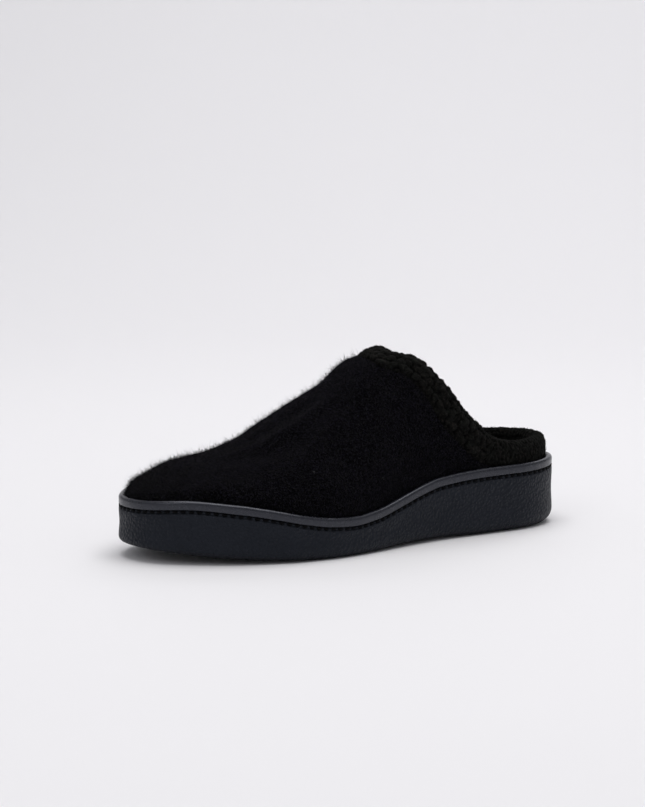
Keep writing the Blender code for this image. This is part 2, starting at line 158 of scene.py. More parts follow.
def unit(vectors):
    # Each vector over its length
    return vectors / np.linalg.norm(vectors, axis=-1, keepdims=True)


def edgePoint(side, turn):
    # The sole's outline: x is side times the half width, y runs from heel to toe, on round both ends
    over = (turn < 0) | (turn > 1)
    side = np.where(over, -side, side)
    turn = np.where(turn < 0, -turn, np.where(turn > 1, 2 - turn, turn))
    share = shareOf(turn)
    width = np.where(side > 0, soleCurve["lateral"](share), soleCurve["medial"](share))
    width = width * last["ballWidth"] * roundEnd(share, *last["heelRound"])
    width = width * roundEnd(1 - share, *last["toeRound"])
    return np.stack([side * width, last["length"] * (0.5 - share)], axis=-1)


def wayOut(side, turn):
    # The direction out of the outline: its own direction turned by a quarter
    along = edgePoint(side, turn + last["nudge"]) - edgePoint(side, turn - last["nudge"])
    return unit(np.stack([-along[..., 1], along[..., 0]], axis=-1)) * side[..., None]


def outlinePoint(side, turn, inset):
    # The outline moved inwards, square to its own direction
    side, turn = np.broadcast_arrays(side, turn)
    return edgePoint(side, turn) - wayOut(side, turn) * np.asarray(inset)[..., None]


def rimHeight(share):
    # Height of the ledge that carries the upper
    return soleCurve["rim"](share) * last["heelRim"]


def groundHeight(share):
    # Height of the tread over the floor, from toe spring and arch
    return soleCurve["ground"](share) * last["toeSpring"] + soleCurve["arch"](share) * last["archLift"]


def ridgeRise(share):
    # Height of the instep's ridge over the ledge, brought down at the toe by a quarter circle
    rise = upperCurve["ridge"](share) * last["instepRise"]
    beyond = np.clip(share - (1 - last["toeCrownShare"]), 0, None) / last["toeCrownShare"]
    return last["toeWallRise"] + (rise - last["toeWallRise"]) * np.sqrt(np.clip(1 - beyond**2, 0, None))


def smoothStep(low, high, x):
    # 0 below low, 1 above high, and 3 s^2 - 2 s^3 between
    s = np.clip((x - low) / (high - low), 0, 1)
    return s * s * (3 - 2 * s)


def bulgeOut(share, rise, outwards):
    # The felt's swell over the welt, which grows towards the toe: a smooth step in height, times
    # exp(-(d / fade)^2), where d is the distance from the tip times the way up the arch
    clear = rise - welt["height"] - last["gap"]
    swell = smoothStep(last["bulgeStart"], 1, share) * smoothStep(0, last["bulgeRise"], clear)
    fromTip = (1 - share) * last["length"] * (1 - outwards)
    return last["bulge"] * swell * np.exp(-((fromTip / last["bulgeFade"]) ** 2))


def upperPoint(side, turn, arch):
    # Each section is an arch: foot to ridge goes with cos(angle)^sidePower, the height with
    # sin(angle)^crownPower. arch runs from 0 at the sole to 1 at the ridge, and on to 2 opposite.
    side, turn, arch = np.broadcast_arrays(side, turn, arch)
    side = np.where((arch > 1) ^ (turn < 0), -side, side)
    arch, turn = np.where(arch > 1, 2 - arch, arch), np.abs(turn)
    share = shareOf(turn)
    foot = outlinePoint(side, turn, feather)
    opposite = outlinePoint(-side, turn, feather)
    middleY = (foot[..., 1] + opposite[..., 1]) / 2
    ridge = np.stack([-upperCurve["lean"](share) * last["instepLean"], middleY], axis=-1)
    angle = arch * np.pi / 2
    outwards = np.clip(np.cos(angle), 0, None) ** upperCurve["sidePower"](share)
    upwards = np.clip(np.sin(angle), 0, None) ** upperCurve["crownPower"](share)
    rise = ridgeRise(share) * upwards
    out = outwards[..., None]
    direction = wayOut(side, turn) * out + np.array((0, -1)) * (1 - out)
    flat = ridge + (foot - ridge) * out + direction * bulgeOut(share, rise, outwards)[..., None]
    height = rimHeight(share) + last["gap"] + rise
    return np.concatenate([flat, height[..., None]], axis=-1)


def archAt(share, rise):
    # Where on the arch the upper stands that high over its foot: the reverse of its height's formula
    upwards = np.clip(rise / ridgeRise(share), 0, 1)
    return 2 / np.pi * np.arcsin(upwards ** (1 / upperCurve["crownPower"](share)))


def upperFrame(side, turn, arch):
    # Point, outward normal and both tangents, from differences to either side
    nudge = last["nudge"]
    byTurn = upperPoint(side, turn + nudge, arch) - upperPoint(side, turn - nudge, arch)
    byArch = upperPoint(side, turn, arch + nudge) - upperPoint(side, turn, arch - nudge)
    normal = -unit(np.cross(byTurn, byArch)) * np.asarray(side)[..., None]
    return upperPoint(side, turn, arch), normal, byTurn / (2 * nudge), byArch / (2 * nudge)


def gridQuads(number, wrapRows=False, wrapColumns=False):
    # Quads between neighbours in a grid of point numbers
    if wrapRows:
        number = np.vstack([number, number[:1]])
    if wrapColumns:
        number = np.hstack([number, number[:, :1]])
    corners = number[:-1, :-1], number[1:, :-1], number[1:, 1:], number[:-1, 1:]
    return np.stack(corners, axis=-1).reshape(-1, 4)


def mergePoints(points, quads):
    # Joins points that share a place to a micrometre, and turns quads that lost a corner into triangles
    keys = np.round(points * 1e6).astype(np.int64)
    _, first, number = np.unique(keys, axis=0, return_index=True, return_inverse=True)
    quads = number.reshape(-1)[quads]
    same = quads == np.roll(quads, -1, axis=1)
    lost = same.sum(axis=1)
    return first, [quads[lost == 0], quads[lost == 1][~same[lost == 1]].reshape(-1, 3)]


def faceNormals(points, faces):
    # Half the cross product of a face's diagonals, which is its area times its normal
    corners = points[faces]
    return np.cross(corners[:, 2] - corners[:, 0], corners[:, -1] - corners[:, 1]) / 2


def pointNormals(points, faceSets):
    # Mean of the faces round each point, weighted by their area
    total = np.zeros_like(points)
    for faces in faceSets:
        facing = faceNormals(points, faces)
        for k in range(faces.shape[1]):
            for axis in range(3):
                total[:, axis] += np.bincount(faces[:, k], facing[:, axis], len(points))
    return unit(total)


def outwardFaces(points, faceSets):
    # Turns all faces over where the enclosed volume, the sum of centre times normal, is negative
    volume = sum((points[f].mean(axis=1) * faceNormals(points, f)).sum() for f in faceSets)
    return [f[:, ::-1] for f in faceSets] if volume < 0 else list(faceSets)


def softNoise(points, size, seed):
    # Random values of -1 to 1 on a lattice with that spacing, eased from corner to corner of each cell
    cells = 32
    lattice = np.random.default_rng(seed).uniform(-1, 1, (cells, cells, cells))
    place = points / size + 1000
    base = np.floor(place).astype(int)
    part = place - base
    part = part * part * (3 - 2 * part)
    total = np.zeros(len(points))
    for corner in np.ndindex(2, 2, 2):
        weight = np.prod(np.where(corner, part, 1 - part), axis=1)
        index = (base + corner) % cells
        total += weight * lattice[index[:, 0], index[:, 1], index[:, 2]]
    return total


def makePiece(name, points, faceSets, uv=None, relief=None):
    # A mesh object from arrays, moved sideways into the frame's own place, with smooth faces
    faceSets = [f for f in outwardFaces(points, faceSets) if len(f)]
    mesh = bpy.data.meshes.new(name)
    mesh.vertices.add(len(points))
    mesh.vertices.foreach_set("co", (points + (last["shift"], 0, 0)).astype(np.float32).ravel())
    corners = np.concatenate([f.ravel() for f in faceSets]).astype(np.int32)
    sizes = np.concatenate([np.full(len(f), f.shape[1]) for f in faceSets])
    mesh.loops.add(len(corners))
    mesh.loops.foreach_set("vertex_index", corners)
    mesh.polygons.add(len(sizes))
    mesh.polygons.foreach_set("loop_start", (np.cumsum(sizes) - sizes).astype(np.int32))
    mesh.update(calc_edges=True)
    mesh.validate()
    if uv is not None:
        layer = mesh.uv_layers.new(name="UVMap")
        layer.data.foreach_set("uv", uv[corners].astype(np.float32).ravel())
    if relief is not None:
        values = mesh.attributes.new("relief", "FLOAT", "POINT").data
        values.foreach_set("value", relief.astype(np.float32))
    mesh.shade_smooth()
    piece = bpy.data.objects.new(name, mesh)
    bpy.context.scene.collection.objects.link(piece)
    print(name, "made:", int((sizes - 2).sum()), "triangles")
    return piece


def finishPiece(piece, material, nodes=()):
    # Gives the piece its material, its place on the body and the nodes that it stands for
    piece.data.materials.append(material)
    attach(piece, "root")
    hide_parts(*nodes)


def loopOf(stations):
    # Side and turn of each station round the outline: out along the lateral side, back along the medial
    turns = np.arange(stations + 1) / stations
    side = np.concatenate([np.ones(stations + 1), -np.ones(stations - 1)])
    return side, np.concatenate([turns, turns[-2:0:-1]])


def ringPoints(side, turn, insets, heights):
    # A grid with a row per inset, which is a number or a row over the stations, and as many rows of heights
    insets = np.asarray(insets)
    flat = outlinePoint(side[None, :], turn[None, :], insets if insets.ndim == 2 else insets[:, None])
    return np.concatenate([flat, heights[..., None]], axis=-1)


def capGrid(ring, strips):
    # Straight strips from the lateral to the medial half of a ring, one row per station
    stations = len(ring) // 2
    lateral = ring[: stations + 1]
    medial = ring[(-np.arange(stations + 1)) % len(ring)]
    across = np.linspace(0, 1, strips + 1)[None, :, None]
    return lateral[:, None] * (1 - across) + medial[:, None] * across


def joinGrids(grids):
    # Points and quads of several grids, each (points, wrapped)
    points, quads, start = [], [], 0
    for grid, wrapped in grids:
        number = start + np.arange(grid.shape[0] * grid.shape[1]).reshape(grid.shape[:2])
        quads.append(gridQuads(number, wrapColumns=wrapped))
        points.append(grid.reshape(-1, 3))
        start += number.size
    return np.concatenate(points), quads


# Sizes of the welt and of the walls behind it, in metres
welt = {
    "inset": 0.0002,
    "width": 0.0037,
    "height": 0.0050,
    "radius": 0.0018,
    "footRadius": 0.0008,
    "stations": 330,
    "arcSteps": 7,
    "wave": 0.00016,  # how far the moulded bead wanders
    "waveLength": 0.021,
    "ripples": 2.7,  # shorter waves to a long one, half as high
    "waveTop": (0.35, 0.9),  # shares of the height between which the waves begin
    "waveOut": 0.5,  # share of the width, from the inner face, over which they begin
}
upperWall = 0.0040
feather = welt["inset"] + welt["width"] + last["gap"]
cupInset = feather + upperWall + 2 * last["gap"]


# Materials


def setInputs(tree, node, inputs):
    # Each input is a value or another node's output. A colour is given as red, green and blue.
    for key, value in inputs.items():
        socket = node.inputs[key]
        if isinstance(value, bpy.types.NodeSocket):
            tree.links.new(value, socket)
        elif socket.type == "RGBA":
            socket.default_value = (*value, 1)
        else:
            socket.default_value = value


def newMaterial(name):
    # A material with an empty Principled BSDF, and its node tree
    material = bpy.data.materials.new(name)
    material.use_nodes = True
    return material, material.node_tree, material.node_tree.nodes["Principled BSDF"]


def addNode(tree, kind, inputs=None, **settings):
    # A node with its settings and inputs
    node = tree.nodes.new(kind)
    for key, value in settings.items():
        setattr(node, key, value)
    setInputs(tree, node, inputs or {})
    return node


def noiseOn(tree, place, scale, detail=3.0, roughness=0.55):
    # Noise of 0 to 1 on the coordinates given, with that many cells per metre
    inputs = {"Vector": place, "Scale": scale, "Detail": detail, "Roughness": roughness}
    return addNode(tree, "ShaderNodeTexNoise", inputs).outputs["Fac"]


def rampOn(tree, value, places, colors):
    # A colour ramp with each colour at its place
    node = addNode(tree, "ShaderNodeValToRGB", {"Fac": value})
    elements = node.color_ramp.elements
    while len(elements) < len(places):
        elements.new(0.5)
    for element, place, color in zip(elements, places, colors):
        element.position = place
        element.color = (*color, 1)
    return node.outputs["Color"]


def maskOn(tree, value, edge, most=1.0):
    # 0 up to the first value of the edge, and the most from its second value on
    return rampOn(tree, value, edge, ((0, 0, 0), (most, most, most)))


def mixColors(tree, share, first, second):
    # Two colours mixed by a share, each a value or a socket
    return addNode(tree, "ShaderNodeMix", {0: share, 6: first, 7: second}, data_type="RGBA").outputs[2]


def mathOn(tree, operation, first, second):
    # One sum of two numbers or sockets
    return addNode(tree, "ShaderNodeMath", {0: first, 1: second}, operation=operation).outputs[0]


def rangeOn(tree, value, low, high, ends):
    # The value brought from low to high onto the two ends
    inputs = {0: value, 1: low, 2: high, 3: ends[0], 4: ends[1]}
    return addNode(tree, "ShaderNodeMapRange", inputs).outputs[0]


def bumpOn(tree, height, distance, strength=1.0, under=None):
    # A bump of that depth in metres, on top of another bump
    inputs = {"Height": height, "Distance": distance, "Strength": strength}
    if under is not None:
        inputs["Normal"] = under
    return addNode(tree, "ShaderNodeBump", inputs).outputs["Normal"]


woolLook = {
    "dark": (0.0, 0.0, 0.0001),
    "middle": (0.0006, 0.0006, 0.0010),
    "light": (0.0140, 0.0130, 0.0200),
    "shades": (0.47, 0.53, 0.60),  # where on the noise the three colours stand
    "knotScale": 840,  # felted knots per metre
    "knotShare": 0.62,  # of the knots in the noise, the rest being hairs
    "knotDepth": 0.0011,
    "hairScale": 2300,
    "hairDepth": 0.0005,
    "cloudScale": 90,
    "cloudShare": 0.08,
    "fleck": (0.030, 0.030, 0.034),
    "fleckScale": 0.8,  # times the scale of the knots
    "fleckEdge": (0.70, 0.78),
    "sheenTint": (0.72, 0.68, 0.90),
    "sheen": 0.06,
    "sheenRoughness": 0.32,
}


def woolMaterial(name, look):
    # Boiled wool: blue-black felted knots, loose hairs and a soft sheen. Its colour mostly follows the
    # knots' bump:
    # painted shade, near black, in the pits between them and painted light on their tops, with random tone
    # from hairs and clouds
    material, tree, shader = newMaterial(name)
    body = addNode(tree, "ShaderNodeTexCoord").outputs["Object"]
    knots = noiseOn(tree, body, look["knotScale"], 3.0, 0.7)
    hairs = noiseOn(tree, body, look["hairScale"], 3.0, 0.7)
    clouds = noiseOn(tree, body, look["cloudScale"], 3.0)
    knotPart = mathOn(tree, "MULTIPLY", knots, look["knotShare"])
    hairPart = mathOn(tree, "MULTIPLY", hairs, 1 - look["knotShare"])
    cloudPart = mathOn(tree, "MULTIPLY", mathOn(tree, "SUBTRACT", clouds, 0.5), look["cloudShare"])
    shade = mathOn(tree, "ADD", mathOn(tree, "ADD", knotPart, hairPart), cloudPart)
    # painted shade and light: the darkest colour stands where the knots sink, the lightest where they rise
    base = rampOn(tree, shade, look["shades"], (look["dark"], look["middle"], look["light"]))
    spots = noiseOn(tree, body, look["knotScale"] * look["fleckScale"], 2.0)
    flecks = maskOn(tree, spots, look["fleckEdge"])
    nap = bumpOn(tree, hairs, look["hairDepth"])
    setInputs(tree, shader, {
        "Base Color": mixColors(tree, flecks, base, look["fleck"]),
        "Normal": bumpOn(tree, knots, look["knotDepth"], 1.0, nap),
        "Roughness": 0.95,
        "Specular IOR Level": 0.01,
        "Sheen Weight": look["sheen"],
        "Sheen Roughness": look["sheenRoughness"],
        "Sheen Tint": look["sheenTint"],
    })
    return material


# Loose fibres: their darkest and lightest colour, and their sheen
fibreLooks = {
    "woolFibre": ((0.0001, 0.0001, 0.0002), (0.0090, 0.0082, 0.0128), 0.04),
    "yarnFibre": ((0.0001, 0.0001, 0.0001), (0.0090, 0.0082, 0.0072), 0.01),
    "paleFibre": ((0.10, 0.10, 0.11), (0.20, 0.20, 0.21), 0.0),
}


def fibreMaterial(name):
    # Each fibre is a little lighter or darker than the next
    dark, light, sheen = fibreLooks[name]
    material, tree, shader = newMaterial(name)
    body = addNode(tree, "ShaderNodeTexCoord").outputs["Object"]
    varied = noiseOn(tree, body, 900, 2.0, 0.6)
    setInputs(tree, shader, {
        "Base Color": rampOn(tree, varied, (0.49, 0.60), (dark, light)),
        "Roughness": 0.95,
        "Specular IOR Level": 0.02,
        "Sheen Weight": sheen,
    })
    return material


yarnLook = {
    # colours by the loops' relief: painted shade in the crevices and on the flanks, the yarn's own colour
    # on the crowns
    "creviceShade": (0.0, 0.0, 0.0),
    "flankShade": (0.0008, 0.0008, 0.0008),
    "crown": (0.0070, 0.0069, 0.0064),
    "depths": (0.15, 0.55, 0.95),  # where on the relief the three colours stand
    "olive": (0.0140, 0.0165, 0.0130),
    "brown": (0.0220, 0.0185, 0.0160),
    "tintScale": 160,
    "tintEdge": (0.40, 0.62),
    "hairScale": 760,
    "hairEdge": (0.50, 0.66),
    "hairDepth": 0.0005,
    "strandScale": (1700, 700, 1),  # along and across the piece's own map
    "strandDepth": 0.0006,
    "sheenTint": (0.80, 0.80, 0.76),
    "sheen": 0.03,
}


def yarnMaterial(name, look):
    # Knitted wool yarn: painted shade, near black in the crevices and dark on the flanks, olive and brown
    # on the loops' crowns, with fine strands
    material, tree, shader = newMaterial(name)
    place = addNode(tree, "ShaderNodeTexCoord")
    body, own = place.outputs["Object"], place.outputs["UV"]
    relief = addNode(tree, "ShaderNodeAttribute", attribute_name="relief").outputs["Fac"]
    stretched = addNode(tree, "ShaderNodeMapping", {"Vector": own, "Scale": look["strandScale"]})
    strands = noiseOn(tree, stretched.outputs["Vector"], 1.0, 4.0, 0.65)
    hairs = noiseOn(tree, body, look["hairScale"], 4.0, 0.75)
    # painted shade: by the relief, near black in the crevices, dark on the flanks and the yarn's own colour
    # on the crowns
    loops = rampOn(tree, relief, look["depths"], (look["creviceShade"], look["flankShade"], look["crown"]))
    tone = noiseOn(tree, body, look["tintScale"], 2.0)
    tint = rampOn(tree, tone, look["tintEdge"], (look["olive"], look["brown"]))
    # painted light as well: the olive and brown tint shows only where the relief is high, on the loops'
    # crowns
    light = mathOn(tree, "MULTIPLY", relief, maskOn(tree, hairs, look["hairEdge"]))
    fine = bumpOn(tree, hairs, look["hairDepth"])
    setInputs(tree, shader, {
        "Base Color": mixColors(tree, light, loops, tint),
        "Normal": bumpOn(tree, strands, look["strandDepth"], 0.8, fine),
        "Roughness": 0.92,
        "Specular IOR Level": 0.04,
        "Sheen Weight": look["sheen"],
        "Sheen Roughness": 0.5,
        "Sheen Tint": look["sheenTint"],
    })
    return material


rubberLook = {
    "dark": (0.0036, 0.0043, 0.0066),
    "light": (0.0072, 0.0082, 0.0120),
    "cloudScale": 55,
    "dust": (0.030, 0.030, 0.029),
    "dustScale": 420,
    "dustEdge": (0.66, 0.86),
    "dustShare": 0.55,
    "grainScale": 640,  # pebbles per metre
    "grainDepth": 0.00085,
    "grainBend": 0.0012,  # how far the pebbles are pushed out of line
    "poreScale": 2.6,  # times the scale of the pebbles
    "poreDepth": 0.00012,
    "roughness": (0.40, 0.60),
    "specularTint": (0.78, 0.86, 1.0),
}


def rubberMaterial(name, look):
    # Moulded foam rubber with a fine leather-like pebble grain and a trace of dust in it
    material, tree, shader = newMaterial(name)
    body = addNode(tree, "ShaderNodeTexCoord").outputs["Object"]
    push = noiseOn(tree, body, look["grainScale"] * 0.5, 2.0)
    inputs = {0: push, 1: [look["grainBend"]] * 3, 2: body}
    bent = addNode(tree, "ShaderNodeVectorMath", inputs, operation="MULTIPLY_ADD").outputs[0]
    inputs = {"Vector": bent, "Scale": look["grainScale"]}
    cells = addNode(tree, "ShaderNodeTexVoronoi", inputs, feature="SMOOTH_F1").outputs["Distance"]
    pores = noiseOn(tree, body, look["grainScale"] * look["poreScale"], 3.0)
    clouds = noiseOn(tree, body, look["cloudScale"], 4.0)
    base = mixColors(tree, clouds, look["dark"], look["light"])
    specks = noiseOn(tree, body, look["dustScale"], 5.0, 0.7)
    dusty = maskOn(tree, specks, look["dustEdge"], look["dustShare"])
    low = bumpOn(tree, mathOn(tree, "SUBTRACT", 1.0, cells), look["grainDepth"])
    setInputs(tree, shader, {
        "Base Color": mixColors(tree, dusty, base, look["dust"]),
        "Normal": bumpOn(tree, pores, look["poreDepth"], 0.8, low),
        "Roughness": rangeOn(tree, cells, 0.0, 0.7, look["roughness"]),
        "Specular IOR Level": 0.22,
        "Specular Tint": look["specularTint"],
    })
    return material


weltLook = {
    "dark": (0.0045, 0.0050, 0.0080),
    "light": (0.0100, 0.0105, 0.0150),
    "cloudScale": 90,
    "smearScale": 260,
    "roughness": (0.20, 0.38),
    "swellScale": 130,
    "swellDepth": 0.0005,
    "grainScale": 1900,
    "grainDepth": 0.00005,
    "specularTint": (0.86, 0.89, 1.0),
}


def weltMaterial(name, look):
    # Satin rubber: nearly smooth, with faint smears of gloss
    material, tree, shader = newMaterial(name)
    body = addNode(tree, "ShaderNodeTexCoord").outputs["Object"]
    clouds = noiseOn(tree, body, look["cloudScale"], 4.0)
    smears = noiseOn(tree, body, look["smearScale"], 4.0, 0.6)
    swell = bumpOn(tree, noiseOn(tree, body, look["swellScale"], 2.0), look["swellDepth"], 0.5)
    grain = noiseOn(tree, body, look["grainScale"], 3.0)
    setInputs(tree, shader, {
        "Base Color": mixColors(tree, clouds, look["dark"], look["light"]),
        "Normal": bumpOn(tree, grain, look["grainDepth"], 0.6, swell),
        "Roughness": rangeOn(tree, smears, 0.3, 0.7, look["roughness"]),
        "Specular IOR Level": 0.55,
        "Specular Tint": look["specularTint"],
    })
    return material


threadLook = {
    "dark": (0.0006, 0.0006, 0.0008),
    "light": (0.003, 0.003, 0.004),
    "shades": (0.3, 0.8),
    "fineScale": 2200,
    "twistScale": 3.0,
    "twistDepth": 0.00015,
}


def threadMaterial(name, look):
    # Waxed black thread with its twist as a slanting bump
    material, tree, shader = newMaterial(name)
    place = addNode(tree, "ShaderNodeTexCoord")
    inputs = {"Vector": place.outputs["UV"], "Scale": look["twistScale"]}
    twist = addNode(tree, "ShaderNodeTexWave", inputs, bands_direction="DIAGONAL").outputs["Fac"]
    fine = noiseOn(tree, place.outputs["Object"], look["fineScale"], 2.0)
    setInputs(tree, shader, {
        "Base Color": rampOn(tree, fine, look["shades"], (look["dark"], look["light"])),
        "Normal": bumpOn(tree, twist, look["twistDepth"], 0.8),
        "Roughness": 0.7,
        "Specular IOR Level": 0.08,
    })
    return material


woolFelt = woolMaterial("woolFelt", woolLook)
woolFibre = fibreMaterial("woolFibre")
knitYarn = yarnMaterial("knitYarn", yarnLook)
yarnFibre = fibreMaterial("yarnFibre")
soleRubber = rubberMaterial("soleRubber", rubberLook)
weltRubber = weltMaterial("weltRubber", weltLook)
blackThread = threadMaterial("blackThread", threadLook)
print("materials made")

# Thread stitches in the groove, in metres
stitch = {
    "pitch": 0.0044,
    "length": 0.0030,
    "radius": 0.00062,
    "inset": 0.00075,
    "sides": 8,
    "steps": 7,
    "pathPoints": 3000,  # of the groove's path, on each side
}

# The sole: tread, rounded lower edge, wall, lip, stitch groove, ledge and cup
sole = {
    "edgeRadius": 0.006,  # times the edge column
    "lipRadius": 0.0008,
    "grooveHeight": 0.0015,
    "grooveDepth": 0.0010,
    "stations": 330,
    "strips": 44,
    "edgeSteps": 8,
    "wallSteps": 9,
    "wallHollow": 0.0004,  # the moulded wall draws in this far at mid height
    "grooveBetween": 0.5,  # share of the groove's depth that is left between two stitches
    "lipSteps": 4,
    "bridgeEdge": (0.1, 0.3),  # there the bridge falls off, in stitches from the middle between two
    "cupStrips": 6,
    "treadDepth": 0.0009,
    "treadPitch": 0.0066,
    "treadFlank": (0.15, 0.75),  # cosine between which a cross groove sinks in
    "treadBorder": (0.0096, 0.0132),  # distances from the edge between which the grooves begin
    "insoleThickness": 0.0050,
    "insoleSink": 0.0015,  # the insole's top lies this far under the ledge
    "cupDeeperAtToe": 0.0053,
}


def stitchPath():
    # Points along the groove, the way to each from the heel, and the number of stitches
    side, turn = loopOf(stitch["pathPoints"])
    path = outlinePoint(side, turn, stitch["inset"])
    height = rimHeight(shareOf(turn)) - sole["grooveHeight"] / 2 + last["gap"] / 2
    path = np.concatenate([path, height[:, None]], axis=-1)
    path = np.vstack([path, path[:1]])
    way = np.concatenate([[0], np.cumsum(np.linalg.norm(np.diff(path, axis=0), axis=1))])
    return path, way, int(way[-1] / stitch["pitch"])


def stitchWay(side, turn):
    # How many stitches from the heel each station is. A loop's stations are equally far apart in turn.
    _, way, count = stitchPath()
    index = np.where(side > 0, turn, 2 - turn) * (len(way) - 1) / 2
    return np.interp(index, np.arange(len(way)), way) / way[-1] * count


def cupFloor(share):
    # Top of the sole under the insole, deeper at the toe
    deeper = soleCurve["cup"](share) * sole["cupDeeperAtToe"]
    return rimHeight(share) - (sole["insoleSink"] + sole["insoleThickness"] + 2 * last["gap"] + deeper)


def treadLift(points):
    # Shallow cross grooves: the lift goes with a flattened cosine along y and fades out at the border
    groove = smoothStep(*sole["treadFlank"], np.cos(2 * np.pi * points[..., 1] / sole["treadPitch"]))
    lateral, medial = points[:, :1], points[:, -1:]
    across = np.linalg.norm(lateral - medial, axis=-1)
    place = np.linspace(0, 1, points.shape[1])[None, :]
    fromSide = np.minimum(place, 1 - place) * across
    share = 0.5 - points[..., 1] / last["length"]
    fromEnd = np.minimum(share, 1 - share) * last["length"]
    inside = smoothStep(*sole["treadBorder"], np.minimum(fromSide, fromEnd))
    return groove * inside * sole["treadDepth"]


def makeSole():
    # Rings of the outline at the profile's insets and heights, closed by strips below and in the cup
    side, turn = loopOf(sole["stations"])
    share = shareOf(turn)
    rim, ground = rimHeight(share), groundHeight(share)
    middle = (stitchWay(side, turn) + (1 - stitch["length"] / stitch["pitch"]) / 2) % 1
    between = 1 - smoothStep(*sole["bridgeEdge"], np.minimum(middle, 1 - middle))
    grooveInset = welt["inset"] + sole["grooveDepth"] * (1 - (1 - sole["grooveBetween"]) * between)
    lip, lipTop = sole["lipRadius"], rim - sole["grooveHeight"]
    radius = sole["edgeRadius"] * soleCurve["edge"](share)
    insets, heights = [], []
    for angle in np.linspace(0, np.pi / 2, sole["edgeSteps"] + 1):
        insets.append(radius * (1 - np.sin(angle)))
        heights.append(ground + radius * (1 - np.cos(angle)))
    wallFoot = heights[-1]
    for part in np.arange(1, sole["wallSteps"] + 1) / sole["wallSteps"]:
        insets.append(0 * share + welt["inset"] * part + sole["wallHollow"] * np.sin(np.pi * part) ** 2)
        heights.append(wallFoot + (lipTop - lip - wallFoot) * part)
    for angle in np.linspace(0, np.pi / 2, sole["lipSteps"] + 1)[1:]:
        insets.append(0 * share + welt["inset"] + lip * (1 - np.cos(angle)))
        heights.append(lipTop - lip * (1 - np.sin(angle)))
    insets += [grooveInset, grooveInset, 0 * share + cupInset, 0 * share + cupInset + last["gap"]]
    heights += [lipTop, rim, rim, cupFloor(share)]
    rings = ringPoints(side, turn, np.array(insets), np.array(heights))
    under, cup = capGrid(rings[0], sole["strips"]), capGrid(rings[-1], sole["cupStrips"])
    under[..., 2] += treadLift(under)
    points, quads = joinGrids([(rings, True), (under[:, ::-1], False), (cup, False)])
    first, faceSets = mergePoints(points, np.concatenate(quads))
    return makePiece("soleUnit", points[first], faceSets)


finishPiece(makeSole(), soleRubber, ["sole"])


def weltSection():
    # Inset and height round the section: a flat foot with a small corner, and a bead with two large ones
    foot, top, height = welt["footRadius"], welt["radius"], welt["height"]
    corners = (
        (foot, foot, foot, -0.5),
        (top, height - top, top, 0.0),
        (welt["width"] - top, height - top, top, 0.5),
    )
    insets, heights = [welt["width"]], [0.0]
    for inset, middle, radius, start in corners:
        angles = np.pi * (start + np.linspace(0, 0.5, welt["arcSteps"] + 1))
        insets += list(inset - radius * np.cos(angles))
        heights += list(middle + radius * np.sin(angles))
    return np.array(insets), np.array(heights)


def makeWelt():
    # The section carried round the outline. The bead's outer half wanders slowly, as in moulded rubber.
    side, turn = loopOf(welt["stations"])
    share = shareOf(turn)
    insets, ups = weltSection()
    heights = rimHeight(share)[None, :] + last["gap"] + ups[:, None]
    rings = ringPoints(side, turn, welt["inset"] + insets, heights)
    spots = rings.reshape(-1, 3)
    wander = softNoise(spots, welt["waveLength"], 11)
    wander = wander + 0.5 * softNoise(spots, welt["waveLength"] / welt["ripples"], 12)
    outer = smoothStep(*welt["waveTop"], ups / welt["height"])
    outer = outer * smoothStep(0, welt["waveOut"], 1 - insets / welt["width"])
    rings[..., 2] += wander.reshape(rings.shape[:2]) * outer[:, None] * welt["wave"]
    number = np.arange(rings.shape[0] * rings.shape[1]).reshape(rings.shape[:2])
    quads = gridQuads(number, wrapRows=True, wrapColumns=True)
    return makePiece("weltBead", rings.reshape(-1, 3), [quads])


finishPiece(makeWelt(), weltRubber, ["welt"])


def makeStitches():
    # Capsules in the groove: each is a circle, whose radius narrows at both ends, carried along its chord
    path, way, count = stitchPath()
    start = np.arange(count) * way[-1] / count
    part = (1 - np.cos(np.linspace(0, np.pi, stitch["steps"]))) / 2
    at = (start[:, None] + part[None, :] * stitch["length"]) % way[-1]
    spine = np.stack([np.interp(at, way, path[:, k]) for k in range(3)], axis=-1)
    along = unit(spine[:, -1] - spine[:, 0])[:, None, :]
    outward = unit(np.cross(along, (0, 0, 1)))
    upward = np.cross(outward, along)
    radius = stitch["radius"] * np.clip(1 - (2 * part - 1) ** 4, 0.02, 1) ** 0.5
    angle = 2 * np.pi * np.arange(stitch["sides"]) / stitch["sides"]
    circle = outward[:, :, None] * np.cos(angle)[:, None]
    circle = circle + upward[:, :, None] * np.sin(angle)[:, None]
    points = spine[:, :, None] + circle * radius[None, :, None, None]
    shape = (count, stitch["steps"], stitch["sides"])
    number = np.arange(np.prod(shape)).reshape(shape)
    wrapped = np.concatenate([number, number[..., :1]], axis=-1)
    corners = wrapped[:, :-1, :-1], wrapped[:, 1:, :-1], wrapped[:, 1:, 1:], wrapped[:, :-1, 1:]
    sides = np.stack(corners, axis=-1).reshape(-1, 4)
    uv = np.stack(np.broadcast_arrays(at[..., None] * 1000, angle / (2 * np.pi)), axis=-1).reshape(-1, 2)
    ends = [number[:, 0], number[:, -1, ::-1]]
    return makePiece("grooveStitches", points.reshape(-1, 3), [sides, *ends], uv)


finishPiece(makeStitches(), blackThread)

